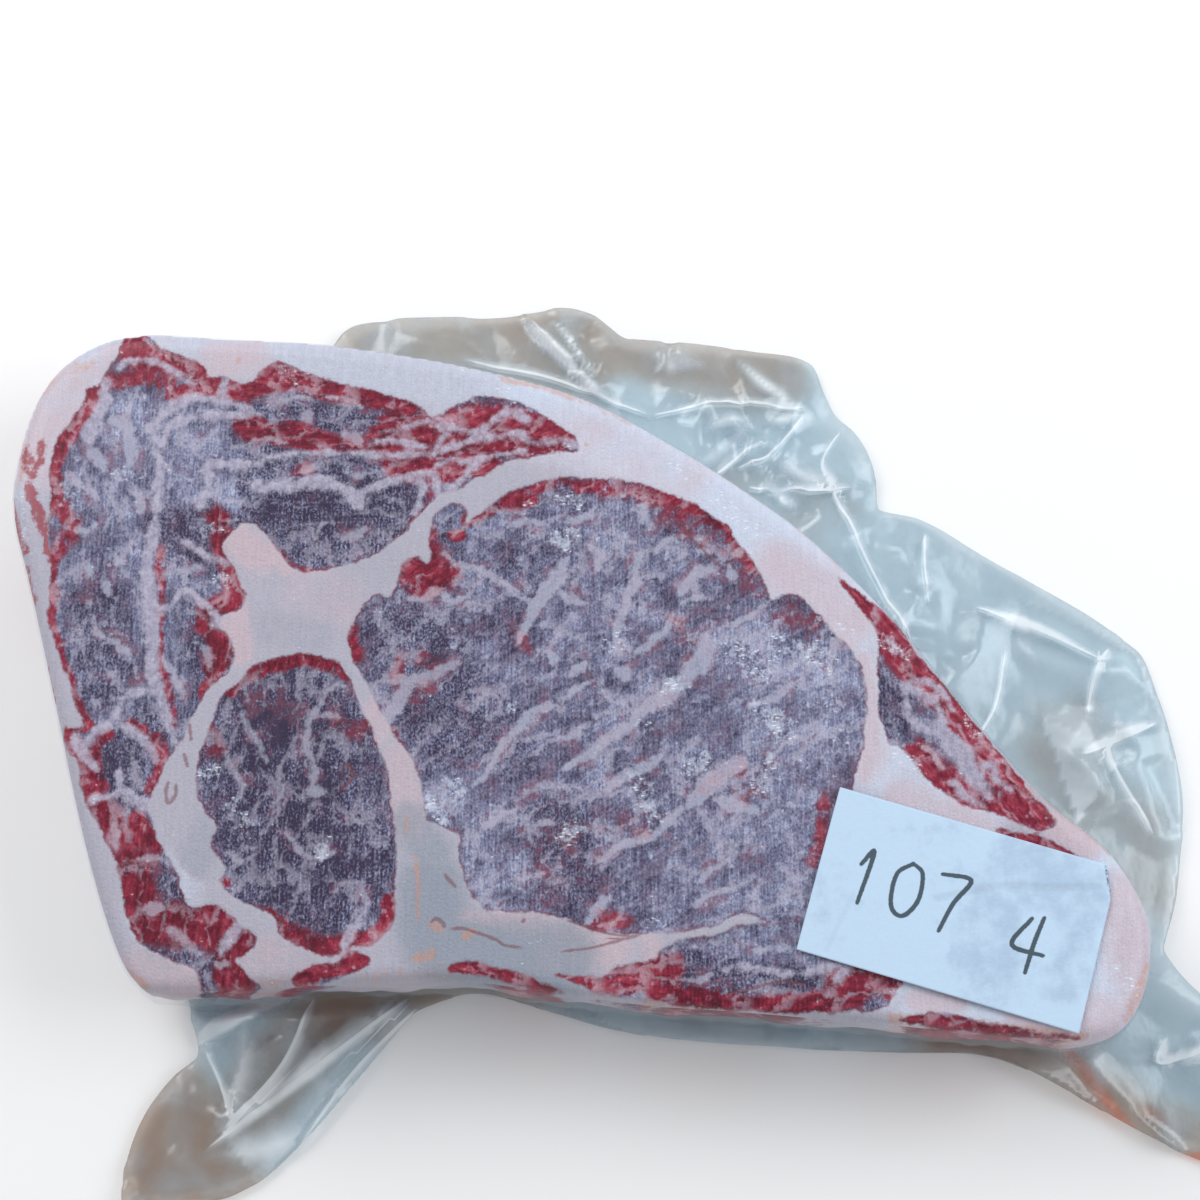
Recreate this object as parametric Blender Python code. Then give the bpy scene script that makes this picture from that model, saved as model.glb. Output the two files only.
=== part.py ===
"""A thick slice of raw beef, frozen and sealed in a clear bag, with a paper tag on its face.

Outlines are drawn in millimetres, seen from above, from a datum near the middle of the face:
x runs to the right and y away from the viewer. At the end the pieces move together, so that
the middle of the whole thing's underside is at the origin.
"""

import math

import bpy
import numpy as np
from mathutils import Vector
from mathutils.geometry import delaunay_2d_cdt

MM = 0.001

# Heights above the table, in millimetres
FILM = 0.7
GAP = 0.3
THICKNESS = 45.0
UNDERSIDE = FILM + GAP
FACE = UNDERSIDE + THICKNESS

# The slab's rounding and relief, in millimetres
RIM_RADIUS = 5.0
FOOT_RADIUS = 7.0
RIM_INSETS = (0.4, 1.5, 3.2, 5.0)
FOOT_INSETS = (0.6, 2.2, 4.6, 7.0)
WALL_LEVELS = 6
WALL_BULGE = 1.2
WALL_RIPPLE = 0.5
WALL_RIPPLES = 23
WALL_RIPPLE_LEAN = 3.0
LEAN_DROP = 0.7
LEAN_EDGE = 2.5
FACE_WAVE = 0.6
FACE_WAVE_X = 74.0
FACE_WAVE_Y = 52.0

# Steps between points, in millimetres
SLAB_STEP = 6.0
FACE_STEP = 9.0
BASE_STEP = 30.0
MUSCLE_STEP = 7.0
BAG_STEP = 10.0
TAG_STEP = 9.0
CURVE_SAMPLES = 24

SLAB = [
    (-161, 40), (-156, 59), (-146, 71), (-130, 77), (-104, 76), (-74, 74), (-38, 68), (-6, 59),
    (20, 45), (44, 29), (60, 16), (80, -5), (98, -29), (118, -53), (134, -67), (142, -80),
    (144, -91), (141, -105), (134, -114), (123, -116), (86, -113), (40, -109), (12, -107),
    (-12, -104), (-36, -101), (-72, -102), (-112, -104), (-121, -101), (-128, -89), (-137, -63),
    (-147, -26), (-155, 3), (-161, 24),
]  # fmt: skip

EYE_MUSCLE = [
    (-36, 21), (-24, 30), (-4, 34), (18, 31), (37, 18), (47, 1), (64, -11), (72, -30), (68, -50),
    (58, -74), (36, -85), (4, -89), (-30, -83), (-38, -64), (-50, -44), (-66, -18), (-63, -1),
    (-50, 12),
]  # fmt: skip
OVAL_MUSCLE = [
    (-80, -15), (-68, -19), (-59, -39), (-53, -68), (-57, -91), (-74, -94), (-97, -77),
    (-106, -54), (-102, -32), (-92, -18),
]  # fmt: skip
BAND_MUSCLE = [
    (-138, -36), (-146, -12), (-148, 20), (-149, 52), (-132, 73), (-94, 65), (-50, 55), (-10, 48),
    (-42, 31), (-58, 14), (-80, 9), (-98, 20), (-97, -2), (-101, -20), (-112, -40), (-126, -46),
]  # fmt: skip

BAG = [
    (-159, 30), (-157, 50), (-148, 67), (-132, 75), (-106, 76), (-92, 82), (-78, 94), (-60, 99),
    (-16, 99), (2, 91), (45, 87), (61, 81), (67, 66), (78, 50), (82, 38), (96, 33), (122, 17),
    (157, -7), (164, -30), (166, -52), (163, -74), (157, -95), (170, -106), (186, -116),
    (187, -135), (174, -147), (155, -150), (134, -137), (114, -125), (98, -119), (60, -117),
    (22, -115), (2, -111), (-34, -102), (-52, -109), (-74, -134), (-92, -150), (-112, -157),
    (-126, -157), (-127, -142), (-119, -123), (-110, -112), (-118, -99), (-127, -84),
    (-138, -56), (-148, -20), (-155, 4),
]  # fmt: skip

# The loose film's folds: direction in degrees, wavelength and height in millimetres
FOLDS = ((28, 47, 5.0), (-38, 31, 3.2), (84, 66, 3.4))
FOLD_START = 3.0
FOLD_RUN = 26.0
CREASE_SHARPNESS = 0.7

TAG_CENTRE = (93.0, -82.5)
TAG_TURN = -16.5
TAG_LENGTH = 75.0
TAG_WIDTH = 44.0
TAG_CUT_LENGTH = 3.5
TAG_CUT_WIDTH = 8.5
TAG_THICKNESS = 0.3
TAG_WAVE = 0.35

MEAT_COLOUR = (0.23, 0.13, 0.18, 1.0)
FILM_COLOUR = (0.66, 0.70, 0.72, 0.4)
PAPER_COLOUR = (0.60, 0.72, 0.86, 1.0)


def smooth_loop(corners, step):
    """Evenly spaced points on a closed Catmull-Rom curve through the corners."""
    knots = np.array(corners, dtype=float)
    t = np.linspace(0, 1, CURVE_SAMPLES, endpoint=False)[:, None]
    curve = []
    for i in range(len(knots)):
        a, b, c, d = (knots[(i + shift) % len(knots)] for shift in (-1, 0, 1, 2))
        curve.append(
            b
            + 0.5 * t * (c - a)
            + t**2 * (a - 2.5 * b + 2 * c - 0.5 * d)
            + t**3 * (1.5 * (b - c) + 0.5 * (d - a))
        )
    curve = np.concatenate(curve + [knots[:1]])
    travelled = np.concatenate([[0], np.cumsum(np.linalg.norm(np.diff(curve, axis=0), axis=1))])
    stops = np.linspace(0, travelled[-1], round(travelled[-1] / step), endpoint=False)
    return np.stack([np.interp(stops, travelled, curve[:, axis]) for axis in (0, 1)], axis=1)


def inward_normals(loop):
    """Unit vectors pointing into a loop that runs clockwise."""
    tangent = np.roll(loop, -1, axis=0) - np.roll(loop, 1, axis=0)
    normal = np.stack([tangent[:, 1], -tangent[:, 0]], axis=1)
    return normal / np.linalg.norm(normal, axis=1, keepdims=True)


def depth_inside(points, loop):
    """Distance from each point to a closed loop, positive inside it and negative outside."""
    start = loop[None]
    along = (np.roll(loop, -1, axis=0) - loop)[None]
    offset = points[:, None] - start
    share = np.clip((offset * along).sum(axis=2) / (along**2).sum(axis=2), 0, 1)
    distance = np.linalg.norm(offset - share[..., None] * along, axis=2).min(axis=1)
    straddles = (offset[..., 1] < 0) != (offset[..., 1] - along[..., 1] < 0)
    rise = np.where(along[..., 1] == 0, 1, along[..., 1])
    crosses = straddles & (offset[..., 0] < along[..., 0] * offset[..., 1] / rise)
    return np.where(crosses.sum(axis=1) % 2 == 1, distance, -distance)


def ring_points(loop, insets):
    """Points set in from a loop by each inset, left out where a sharp bend would fold them over."""
    rings = [loop + inward_normals(loop) * inset for inset in insets]
    kept = [
        ring[depth_inside(ring, loop) > 0.97 * inset]
        for ring, inset in zip(rings, insets)
    ]
    return np.concatenate(kept)


def filled(loops, extra, step, clearance):
    """Points and triangles that fill the first loop and follow the others, with extra points."""
    low, high = loops[0].min(axis=0), loops[0].max(axis=0)
    rows = np.arange(low[1], high[1], step * math.sqrt(0.75))
    grid = np.array([
        (x + (step / 2) * (row % 2), y)
        for row, y in enumerate(rows)
        for x in np.arange(low[0], high[0], step)
    ])
    near = [np.abs(depth_inside(grid, loop)) > 0.55 * step for loop in loops[1:]]
    grid = grid[np.all([depth_inside(grid, loops[0]) > clearance, *near], axis=0)]
    points = np.concatenate([*loops, extra, grid])
    edges = []
    first = 0
    for loop in loops:
        count = len(loop)
        edges += [(first + i, first + (i + 1) % count) for i in range(count)]
        first += count
    vertices, _, faces, *_ = delaunay_2d_cdt(
        [Vector(point) for point in points], edges, [], 1, 1e-4
    )
    return np.array([tuple(vertex) for vertex in vertices]), faces


def rounding(depth, radius):
    """How far a rounded edge has dropped at a depth in from the outline."""
    short = np.clip(radius - depth, 0, radius)
    return radius - np.sqrt(radius**2 - short**2)


def ramp(value, start, run):
    """0 up to the start, easing to 1 at the end of the run."""
    share = np.clip((value - start) / run, 0, 1)
    return share**2 * (3 - 2 * share)


def face_height(points, outline, muscles):
    """The sawn face: fat level with the top, lean a little lower, and the rim rounded off."""
    wave = 0.5 + 0.25 * np.sin(points[:, 0] / FACE_WAVE_X * math.tau)
    wave += 0.25 * np.cos(points[:, 1] / FACE_WAVE_Y * math.tau)
    lean = sum(ramp(depth_inside(points, muscle), 0, LEAN_EDGE) for muscle in muscles)
    depth = depth_inside(points, outline)
    drop = FACE_WAVE * wave * ramp(depth, 0, RIM_RADIUS) + LEAN_DROP * lean
    return FACE - drop - rounding(depth, RIM_RADIUS)


def base_height(points, outline):
    """The underside, flat inside its rounded foot."""
    return UNDERSIDE + rounding(depth_inside(points, outline), FOOT_RADIUS)


def fold_height(points, outline):
    """The loose film's height: flat under the slab, creased and raised out beyond it."""
    height = np.zeros(len(points))
    for direction, length, fold in FOLDS:
        turn = math.radians(direction)
        run = points[:, 0] * math.cos(turn) + points[:, 1] * math.sin(turn)
        height += fold * np.abs(np.sin(run / length * math.pi)) ** CREASE_SHARPNESS
    return height * ramp(-depth_inside(points, outline), FOLD_START, FOLD_RUN)


def tag_height(points):
    """The tag's slight curl, just clear of the face."""
    across = np.sin((points[:, 0] - points[:, 1]) / TAG_LENGTH * math.pi)
    return FACE + GAP + TAG_WAVE * (1 + across)


def material(name, colour, roughness):
    """A Principled material, see-through by its colour's fourth value."""
    made = bpy.data.materials.new(name)
    made.use_nodes = True
    shader = made.node_tree.nodes["Principled BSDF"]
    shader.inputs["Base Color"].default_value = colour
    shader.inputs["Alpha"].default_value = colour[3]
    shader.inputs["Roughness"].default_value = roughness
    shader.inputs["Metallic"].default_value = 0.0
    made.diffuse_color = colour
    return made


def add_object(name, vertices, faces, finish, smooth_angle):
    """A mesh object from points in millimetres, smooth but for edges over the angle."""
    mesh = bpy.data.meshes.new(name)
    mesh.from_pydata((np.asarray(vertices) * MM).tolist(), [], faces)
    mesh.shade_smooth()
    mesh.set_sharp_from_angle(angle=math.radians(smooth_angle))
    mesh.materials.append(finish)
    made = bpy.data.objects.new(name, mesh)
    bpy.context.scene.collection.objects.link(made)
    return made


def wall_faces(rings):
    """Faces between rings of point numbers, each ring below the one before it."""
    return [
        (upper[i], upper[(i + 1) % len(upper)], lower[(i + 1) % len(upper)], lower[i])
        for upper, lower in zip(rings, rings[1:])
        for i in range(len(upper))
    ]


def make_steak():
    """The slab: a relief face and a flat underside, joined by a slightly bulging wall."""
    outline = smooth_loop(SLAB, SLAB_STEP)
    corners = (EYE_MUSCLE, OVAL_MUSCLE, BAND_MUSCLE)
    muscles = [smooth_loop(corner_list, MUSCLE_STEP) for corner_list in corners]
    count = len(outline)
    face_extra = np.concatenate(
        [ring_points(outline, RIM_INSETS)] + [ring_points(muscle, (LEAN_EDGE,)) for muscle in muscles]
    )
    top, top_faces = filled([outline, *muscles], face_extra, FACE_STEP, RIM_RADIUS + 2)
    base_extra = ring_points(outline, FOOT_INSETS)
    base, base_faces = filled([outline], base_extra, BASE_STEP, FOOT_RADIUS + BASE_STEP / 2)
    top = np.column_stack([top, face_height(top, outline, muscles)])
    base = np.column_stack([base, base_height(base, outline)])

    highest, lowest = FACE - RIM_RADIUS, UNDERSIDE + FOOT_RADIUS
    outward = -inward_normals(outline)
    around = np.arange(count) / count * math.tau
    wall = []
    for level in range(1, WALL_LEVELS):
        share = level / WALL_LEVELS
        ripple = WALL_RIPPLE * np.sin(WALL_RIPPLES * around + WALL_RIPPLE_LEAN * share)
        bulge = math.sin(share * math.pi) * (WALL_BULGE + ripple)
        ring = outline + outward * bulge[:, None]
        height = np.full(count, highest + (lowest - highest) * share)
        wall.append(np.column_stack([ring, height]))

    vertices = np.concatenate([top, *wall, base])
    first_wall = len(top)
    first_base = first_wall + len(wall) * count
    starts = [0, *range(first_wall, first_base, count), first_base]
    rings = [[start + i for i in range(count)] for start in starts]
    faces = [tuple(face) for face in top_faces]
    faces += [tuple(first_base + i for i in reversed(face)) for face in base_faces]
    faces += wall_faces(rings)
    return add_object("beef_steak", vertices, faces, material("meat", MEAT_COLOUR, 0.5), 50)


def make_sheet(name, outline, step, height, thickness, finish):
    """A thin closed sheet over an outline, its two faces split alike."""
    points, triangles = filled([outline], np.empty((0, 2)), step, 0.45 * step)
    upper = np.column_stack([points, height(points) + thickness])
    lower = np.column_stack([points, height(points)])
    count, total = len(outline), len(points)
    faces = [tuple(face) for face in triangles]
    faces += [tuple(total + i for i in reversed(face)) for face in triangles]
    faces += wall_faces([list(range(count)), list(range(total, total + count))])
    return add_object(name, np.concatenate([upper, lower]), faces, finish, 40)


def make_bag():
    """The loose film: it runs flat under the slab and out past it in creased flaps."""
    slab = smooth_loop(SLAB, SLAB_STEP)
    outline = smooth_loop(BAG, BAG_STEP)
    finish = material("clear_film", FILM_COLOUR, 0.1)
    return make_sheet(
        "vacuum_bag", outline, BAG_STEP, lambda points: fold_height(points, slab), FILM, finish
    )


def tag_outline():
    """The tag's corners, clockwise, with points along its edges, turned and placed on the face."""
    x, y = TAG_LENGTH / 2, TAG_WIDTH / 2
    corners = [(-x, y), (x - TAG_CUT_LENGTH, y), (x, y - TAG_CUT_WIDTH), (x, -y), (-x, -y)]
    outline = []
    for start, end in zip(corners, corners[1:] + corners[:1]):
        steps = max(1, round(math.dist(start, end) / TAG_STEP))
        for i in range(steps):
            outline.append(Vector(start).lerp(Vector(end), i / steps))
    turn = math.radians(TAG_TURN)
    along = np.array((math.cos(turn), math.sin(turn)))
    across = np.array((-math.sin(turn), math.cos(turn)))
    outline = np.array(outline)
    return np.array(TAG_CENTRE) + outline[:, :1] * along + outline[:, 1:] * across


def make_tag():
    """The paper tag, lying on the face under the film."""
    finish = material("paper", PAPER_COLOUR, 0.7)
    return make_sheet("paper_tag", tag_outline(), TAG_STEP, tag_height, TAG_THICKNESS, finish)


def centre_on_floor(pieces):
    """Moves the pieces together, so that the middle of their box's underside is at the origin."""
    corners = [Vector(corner) for piece in pieces for corner in piece.bound_box]
    low = Vector(min(corner[axis] for corner in corners) for axis in range(3))
    high = Vector(max(corner[axis] for corner in corners) for axis in range(3))
    middle = Vector(((low.x + high.x) / 2, (low.y + high.y) / 2, low.z))
    for piece in pieces:
        piece.location = -middle


def main():
    for old in list(bpy.data.objects):
        bpy.data.objects.remove(old, do_unlink=True)
    centre_on_floor([make_steak(), make_bag(), make_tag()])


main()
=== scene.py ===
"""A thick frozen slice of raw beef, vacuum-packed in a clear bag with a paper tag on its face.

Drawn places are millimetres on the sawn face, from a datum near its middle: x to the right and
y away from the viewer. The datum's place in the frame comes from the box of the bag's node.
"""

import math
from contextlib import contextmanager

import bpy
import numpy as np
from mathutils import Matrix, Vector
from mathutils.geometry import delaunay_2d_cdt


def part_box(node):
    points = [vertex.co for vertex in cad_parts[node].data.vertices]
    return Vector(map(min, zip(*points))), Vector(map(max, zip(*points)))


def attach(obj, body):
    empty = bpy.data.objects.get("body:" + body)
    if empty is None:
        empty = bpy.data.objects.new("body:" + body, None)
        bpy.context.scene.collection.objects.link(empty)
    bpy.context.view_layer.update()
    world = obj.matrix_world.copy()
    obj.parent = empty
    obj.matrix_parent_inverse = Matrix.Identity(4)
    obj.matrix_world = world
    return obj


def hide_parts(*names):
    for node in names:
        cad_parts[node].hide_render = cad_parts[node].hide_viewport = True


bl_info = {
    "name": "Vacuum-packed beef slice",
    "version": (1, 0, 0),
    "blender": (4, 5, 0),
    "location": "3D View > Sidebar > Beef",
    "description": "Builds a frozen slice of beef with its marbled face, clear bag and paper tag",
    "category": "Object",
}

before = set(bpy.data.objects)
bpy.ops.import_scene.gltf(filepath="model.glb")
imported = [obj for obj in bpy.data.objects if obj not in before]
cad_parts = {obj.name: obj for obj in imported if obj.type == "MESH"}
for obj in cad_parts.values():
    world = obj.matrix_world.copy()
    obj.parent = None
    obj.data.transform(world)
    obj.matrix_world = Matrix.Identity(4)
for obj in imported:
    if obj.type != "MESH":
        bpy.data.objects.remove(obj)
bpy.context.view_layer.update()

MM = 0.001
BODY = "root"
STEAK_NODE = "beef_steak"
BAG_NODE = "vacuum_bag"
TAG_NODE = "paper_tag"

# Outlines of the slice, of the bag's solid and of its loose film, clockwise
SLAB = [
    (-161, 40), (-156, 59), (-146, 71), (-130, 77), (-104, 76), (-74, 74), (-38, 68), (-6, 59),
    (20, 45), (44, 29), (60, 16), (80, -5), (98, -29), (118, -53), (134, -67), (142, -80),
    (144, -91), (141, -105), (134, -114), (123, -116), (86, -113), (40, -109), (12, -107),
    (-12, -104), (-36, -101), (-72, -102), (-112, -104), (-121, -101), (-128, -89), (-137, -63),
    (-147, -26), (-155, 3), (-161, 24),
]
BAG = [
    (-159, 30), (-157, 50), (-148, 67), (-132, 75), (-106, 76), (-92, 82), (-78, 94), (-60, 99),
    (-16, 99), (2, 91), (45, 87), (61, 81), (67, 66), (78, 50), (82, 38), (96, 33), (122, 17),
    (157, -7), (164, -30), (166, -52), (163, -74), (157, -95), (170, -106), (186, -116),
    (187, -135), (174, -147), (155, -150), (134, -137), (114, -125), (98, -119), (60, -117),
    (22, -115), (2, -111), (-34, -102), (-52, -109), (-74, -134), (-92, -150), (-112, -157),
    (-126, -157), (-127, -142), (-119, -123), (-110, -112), (-118, -99), (-127, -84),
    (-138, -56), (-148, -20), (-155, 4),
]
FILM_EDGE = [
    (-159, 30), (-157, 50), (-148, 67), (-132, 75), (-106, 76), (-90, 81), (-82, 86), (-77, 93),
    (-70, 96), (-52, 97.5), (-30, 98), (-12, 101), (-3, 99.5), (2, 95.5), (7, 91), (11, 90.4),
    (30, 89), (54, 86.2), (62, 84), (65, 81), (68, 72), (70.5, 66), (76, 61), (80, 54), (82, 46),
    (82.2, 38.5), (83.5, 37), (95, 34.5), (108, 26.5), (122, 18), (140, 7), (154, -3), (157.5, -6),
    (160, -12), (164, -28), (166.5, -45), (166, -58), (163, -76), (159, -88), (158.5, -92),
    (164, -100), (172, -107), (184, -114), (190, -118), (191, -128), (190.5, -146), (188.5, -149.5),
    (180, -151), (172, -150.5), (165, -148), (150, -141), (134, -132), (117, -123), (104, -119),
    (80, -118.5), (40, -117), (18, -115), (2, -112), (-14, -107.5), (-34, -103), (-48, -106),
    (-54, -111), (-66, -125), (-78, -139), (-90, -151), (-97, -155.5), (-105, -158.5),
    (-122, -160), (-129, -160.5), (-130.5, -158), (-130, -149), (-128, -141), (-124, -133),
    (-118, -125.5), (-112.5, -121), (-111.5, -118.5), (-113, -112), (-118, -99), (-127, -84),
    (-138, -56), (-148, -20), (-155, 4),
]

# Outlines of the lean, each with the angle of its grain in degrees
EYE = [
    (-36.5, 25), (-36, 21.5), (-33, 24.5), (-24, 31), (-12, 34.2), (-5, 34.5), (10, 33.3),
    (19, 30), (31, 24), (40, 13), (45, 5), (46, 0), (50, 1.5), (54, 0.5), (58, -3), (64, -10),
    (69, -16), (71, -24), (70.5, -36), (67, -50), (60, -66), (56, -84), (46, -86), (37, -84),
    (28, -87.5), (12, -89), (0, -88.5), (-8, -85.5), (-18, -83.5), (-28, -83), (-34, -78),
    (-37, -68), (-37.5, -63), (-45, -59), (-47, -52), (-49, -44), (-55, -37), (-57, -33),
    (-62, -24), (-67, -15), (-67.5, -9), (-65, -3), (-60, 1.5), (-56.5, 0.5), (-54.5, 6),
    (-53.5, 10.5), (-50, 12), (-46, 10.5), (-46.5, 18), (-45, 24), (-40, 27),
]
OVAL = [
    (-97, -23), (-92, -17.5), (-83, -15), (-76, -14.8), (-69, -18.5), (-65, -27), (-60, -37),
    (-56, -49), (-53.8, -62), (-53.2, -76), (-54, -86), (-58, -91.5), (-64, -92.5), (-70, -95),
    (-78, -92), (-83, -89), (-86, -84), (-95, -79.5), (-99.5, -75), (-98, -72), (-101.5, -66),
    (-101, -61), (-105, -56), (-107, -47), (-105, -38), (-101, -26.5),
]
LEFT_LEAN = [
    (-137.5, -34), (-141.5, -24), (-146.5, -12), (-149, -4), (-149, 8), (-150, 18),
    (-150.5, 32), (-150.8, 39), (-149, 47), (-143.5, 55.5), (-142.5, 60.5), (-139.5, 61.5),
    (-136.5, 66), (-133.8, 71), (-133, 76), (-126.5, 76), (-122.5, 71.8), (-115, 69.5),
    (-110, 66.5), (-108.5, 63.5), (-103, 63.2), (-99, 61.5), (-95.5, 63), (-94, 66), (-89, 68),
    (-83, 65.5), (-72, 62), (-60, 58.8), (-50, 55), (-46.5, 52), (-43.5, 53), (-40, 55.5),
    (-33, 57.7), (-25, 57), (-19, 55), (-14, 51), (-9, 48), (-6.5, 45.5), (-6.5, 42),
    (-14, 41.5), (-24, 39), (-31, 35.5), (-38, 31.3), (-43.5, 29.8), (-45.5, 27.5),
    (-51, 22), (-54, 18), (-60, 13.5), (-68, 10), (-77, 8), (-83, 8.7), (-86.5, 13),
    (-91, 18.5), (-95.5, 21.5), (-99.5, 19.5), (-102.5, 15), (-99.5, 9.5), (-97, 4.5),
    (-95.5, 1), (-97, -2.5), (-102, -4.5), (-102.5, -7.5), (-99.5, -10), (-98, -15),
    (-99.5, -20), (-104, -24), (-107, -29), (-110.5, -37), (-114.5, -44), (-118, -51),
    (-119.5, -55.5), (-117.5, -60), (-115.5, -66), (-111, -72), (-107.5, -81.3), (-100, -81.5),
    (-95, -85.5), (-89.3, -90.5), (-91, -94.3), (-94.5, -95.5), (-91, -99), (-88, -103.5),
    (-102, -104), (-105, -98.5), (-113, -95), (-119.5, -91.5), (-123.5, -84), (-126, -74),
    (-127.8, -68), (-132, -61), (-137, -52), (-139, -44), (-143, -38), (-141.5, -34.5),
]
TAIL = [
    (64.5, 6.8), (70, 2.6), (77, -2.6), (82, -8.5), (87, -16.3), (94, -24), (99.5, -32.5),
    (109.5, -45), (114, -52.5), (119.8, -58.8), (118.5, -61.3), (114, -61.8), (104, -57.5),
    (97, -55.7), (87, -48.7), (79.7, -40.2), (76.5, -38.5), (74.5, -31), (73.8, -20),
    (74.5, -10), (70.5, -3),
]
BOTTOM_STRIP = [
    (-12, -99.3), (-3, -99.6), (2, -98.6), (4.5, -96.8), (13.5, -95.8), (15.5, -93.2),
    (20, -90.6), (29, -89.3), (38, -86.3), (56, -86), (66, -94), (77.5, -100), (77, -103.5),
    (72, -108.3), (58, -109), (30, -108), (12, -105.8), (2, -104.2), (-6, -101.6),
]
TAG_STRIP = [(104, -61.8), (112, -62.6), (119, -65), (126, -69.4), (118, -68.5), (107, -65)]
UNDER_OVAL = [
    (-79.5, -99.5), (-74, -97), (-68.5, -96.5), (-65.5, -93), (-61, -94.3), (-59.8, -96.5),
    (-66, -100), (-72, -102), (-79, -102.5),
]
BOTTOM_EDGE = [
    (-39.5, -97.3), (-33.5, -95.8), (-29, -97), (-20, -99), (-13, -102), (-9, -104.5),
    (-18, -103.3), (-29, -100), (-37, -98.8),
]
FAR_EDGE = [(77, -110), (88, -108.9), (98, -111), (112, -113.2), (125, -116), (100, -114.8), (82, -112)]
LEAN = [
    (EYE, 35), (OVAL, 80), (LEFT_LEAN, 86), (TAIL, -52), (BOTTOM_STRIP, 5), (TAG_STRIP, -20),
    (UNDER_OVAL, 15), (BOTTOM_EDGE, -12), (FAR_EDGE, -8),
]
# Beyond this corner the lean runs sideways, and in the top right muscle it climbs: angles in degrees
TOP_CORNER = (-104, 20)
TOP_ANGLE = 3
TOP_RIGHT_CORNER = (-44, 36)
TOP_RIGHT_ANGLE = 22
# The wall: how far it stands out, and how far its top row lies in and above the rim's foot
WALL_BULGE = 1.2
WALL_TUCK = 0.4
WALL_OVERLAP = 0.5
# Its ripples: depth, how often they come round, and how they lean down the wall
WALL_RIPPLES = ((0.5, 23, 3), (0.35, 57, -9))
# Where its foot's rows lie, and how far inside the outline it takes its colours
FOOT_INSETS = (0.6, 2.2, 4.6, 7.0)
COLOUR_INSET = 1.3
# The colours' drift down the wall: where it starts, over what height it grows, and its shift
DRIFT_START = 3.0
DRIFT_GROWTH = 14.0
DRIFT_SHIFT = 0.7
# The drift's waves: width, length down the wall, and turn from place to place
DRIFT_WAVES = ((2.6, 19, 0.11), (1.1, 8, -0.23))
# Angle of the grain outside the muscles, and how far it reaches beyond each muscle's outline
PLAIN_GRAIN = 20.0
GRAIN_REACH = 2
# The drawn edges' chance shift: how far, and the size of its marks
RAGGED_EDGES = ((0.85, 5.0), (0.45, 2.2))
# Lengths of the sawn face's gentle waves across and away, and their depth
FACE_WAVES = (74.0, 52.0)
WAVE_DEPTH = 0.6

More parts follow.
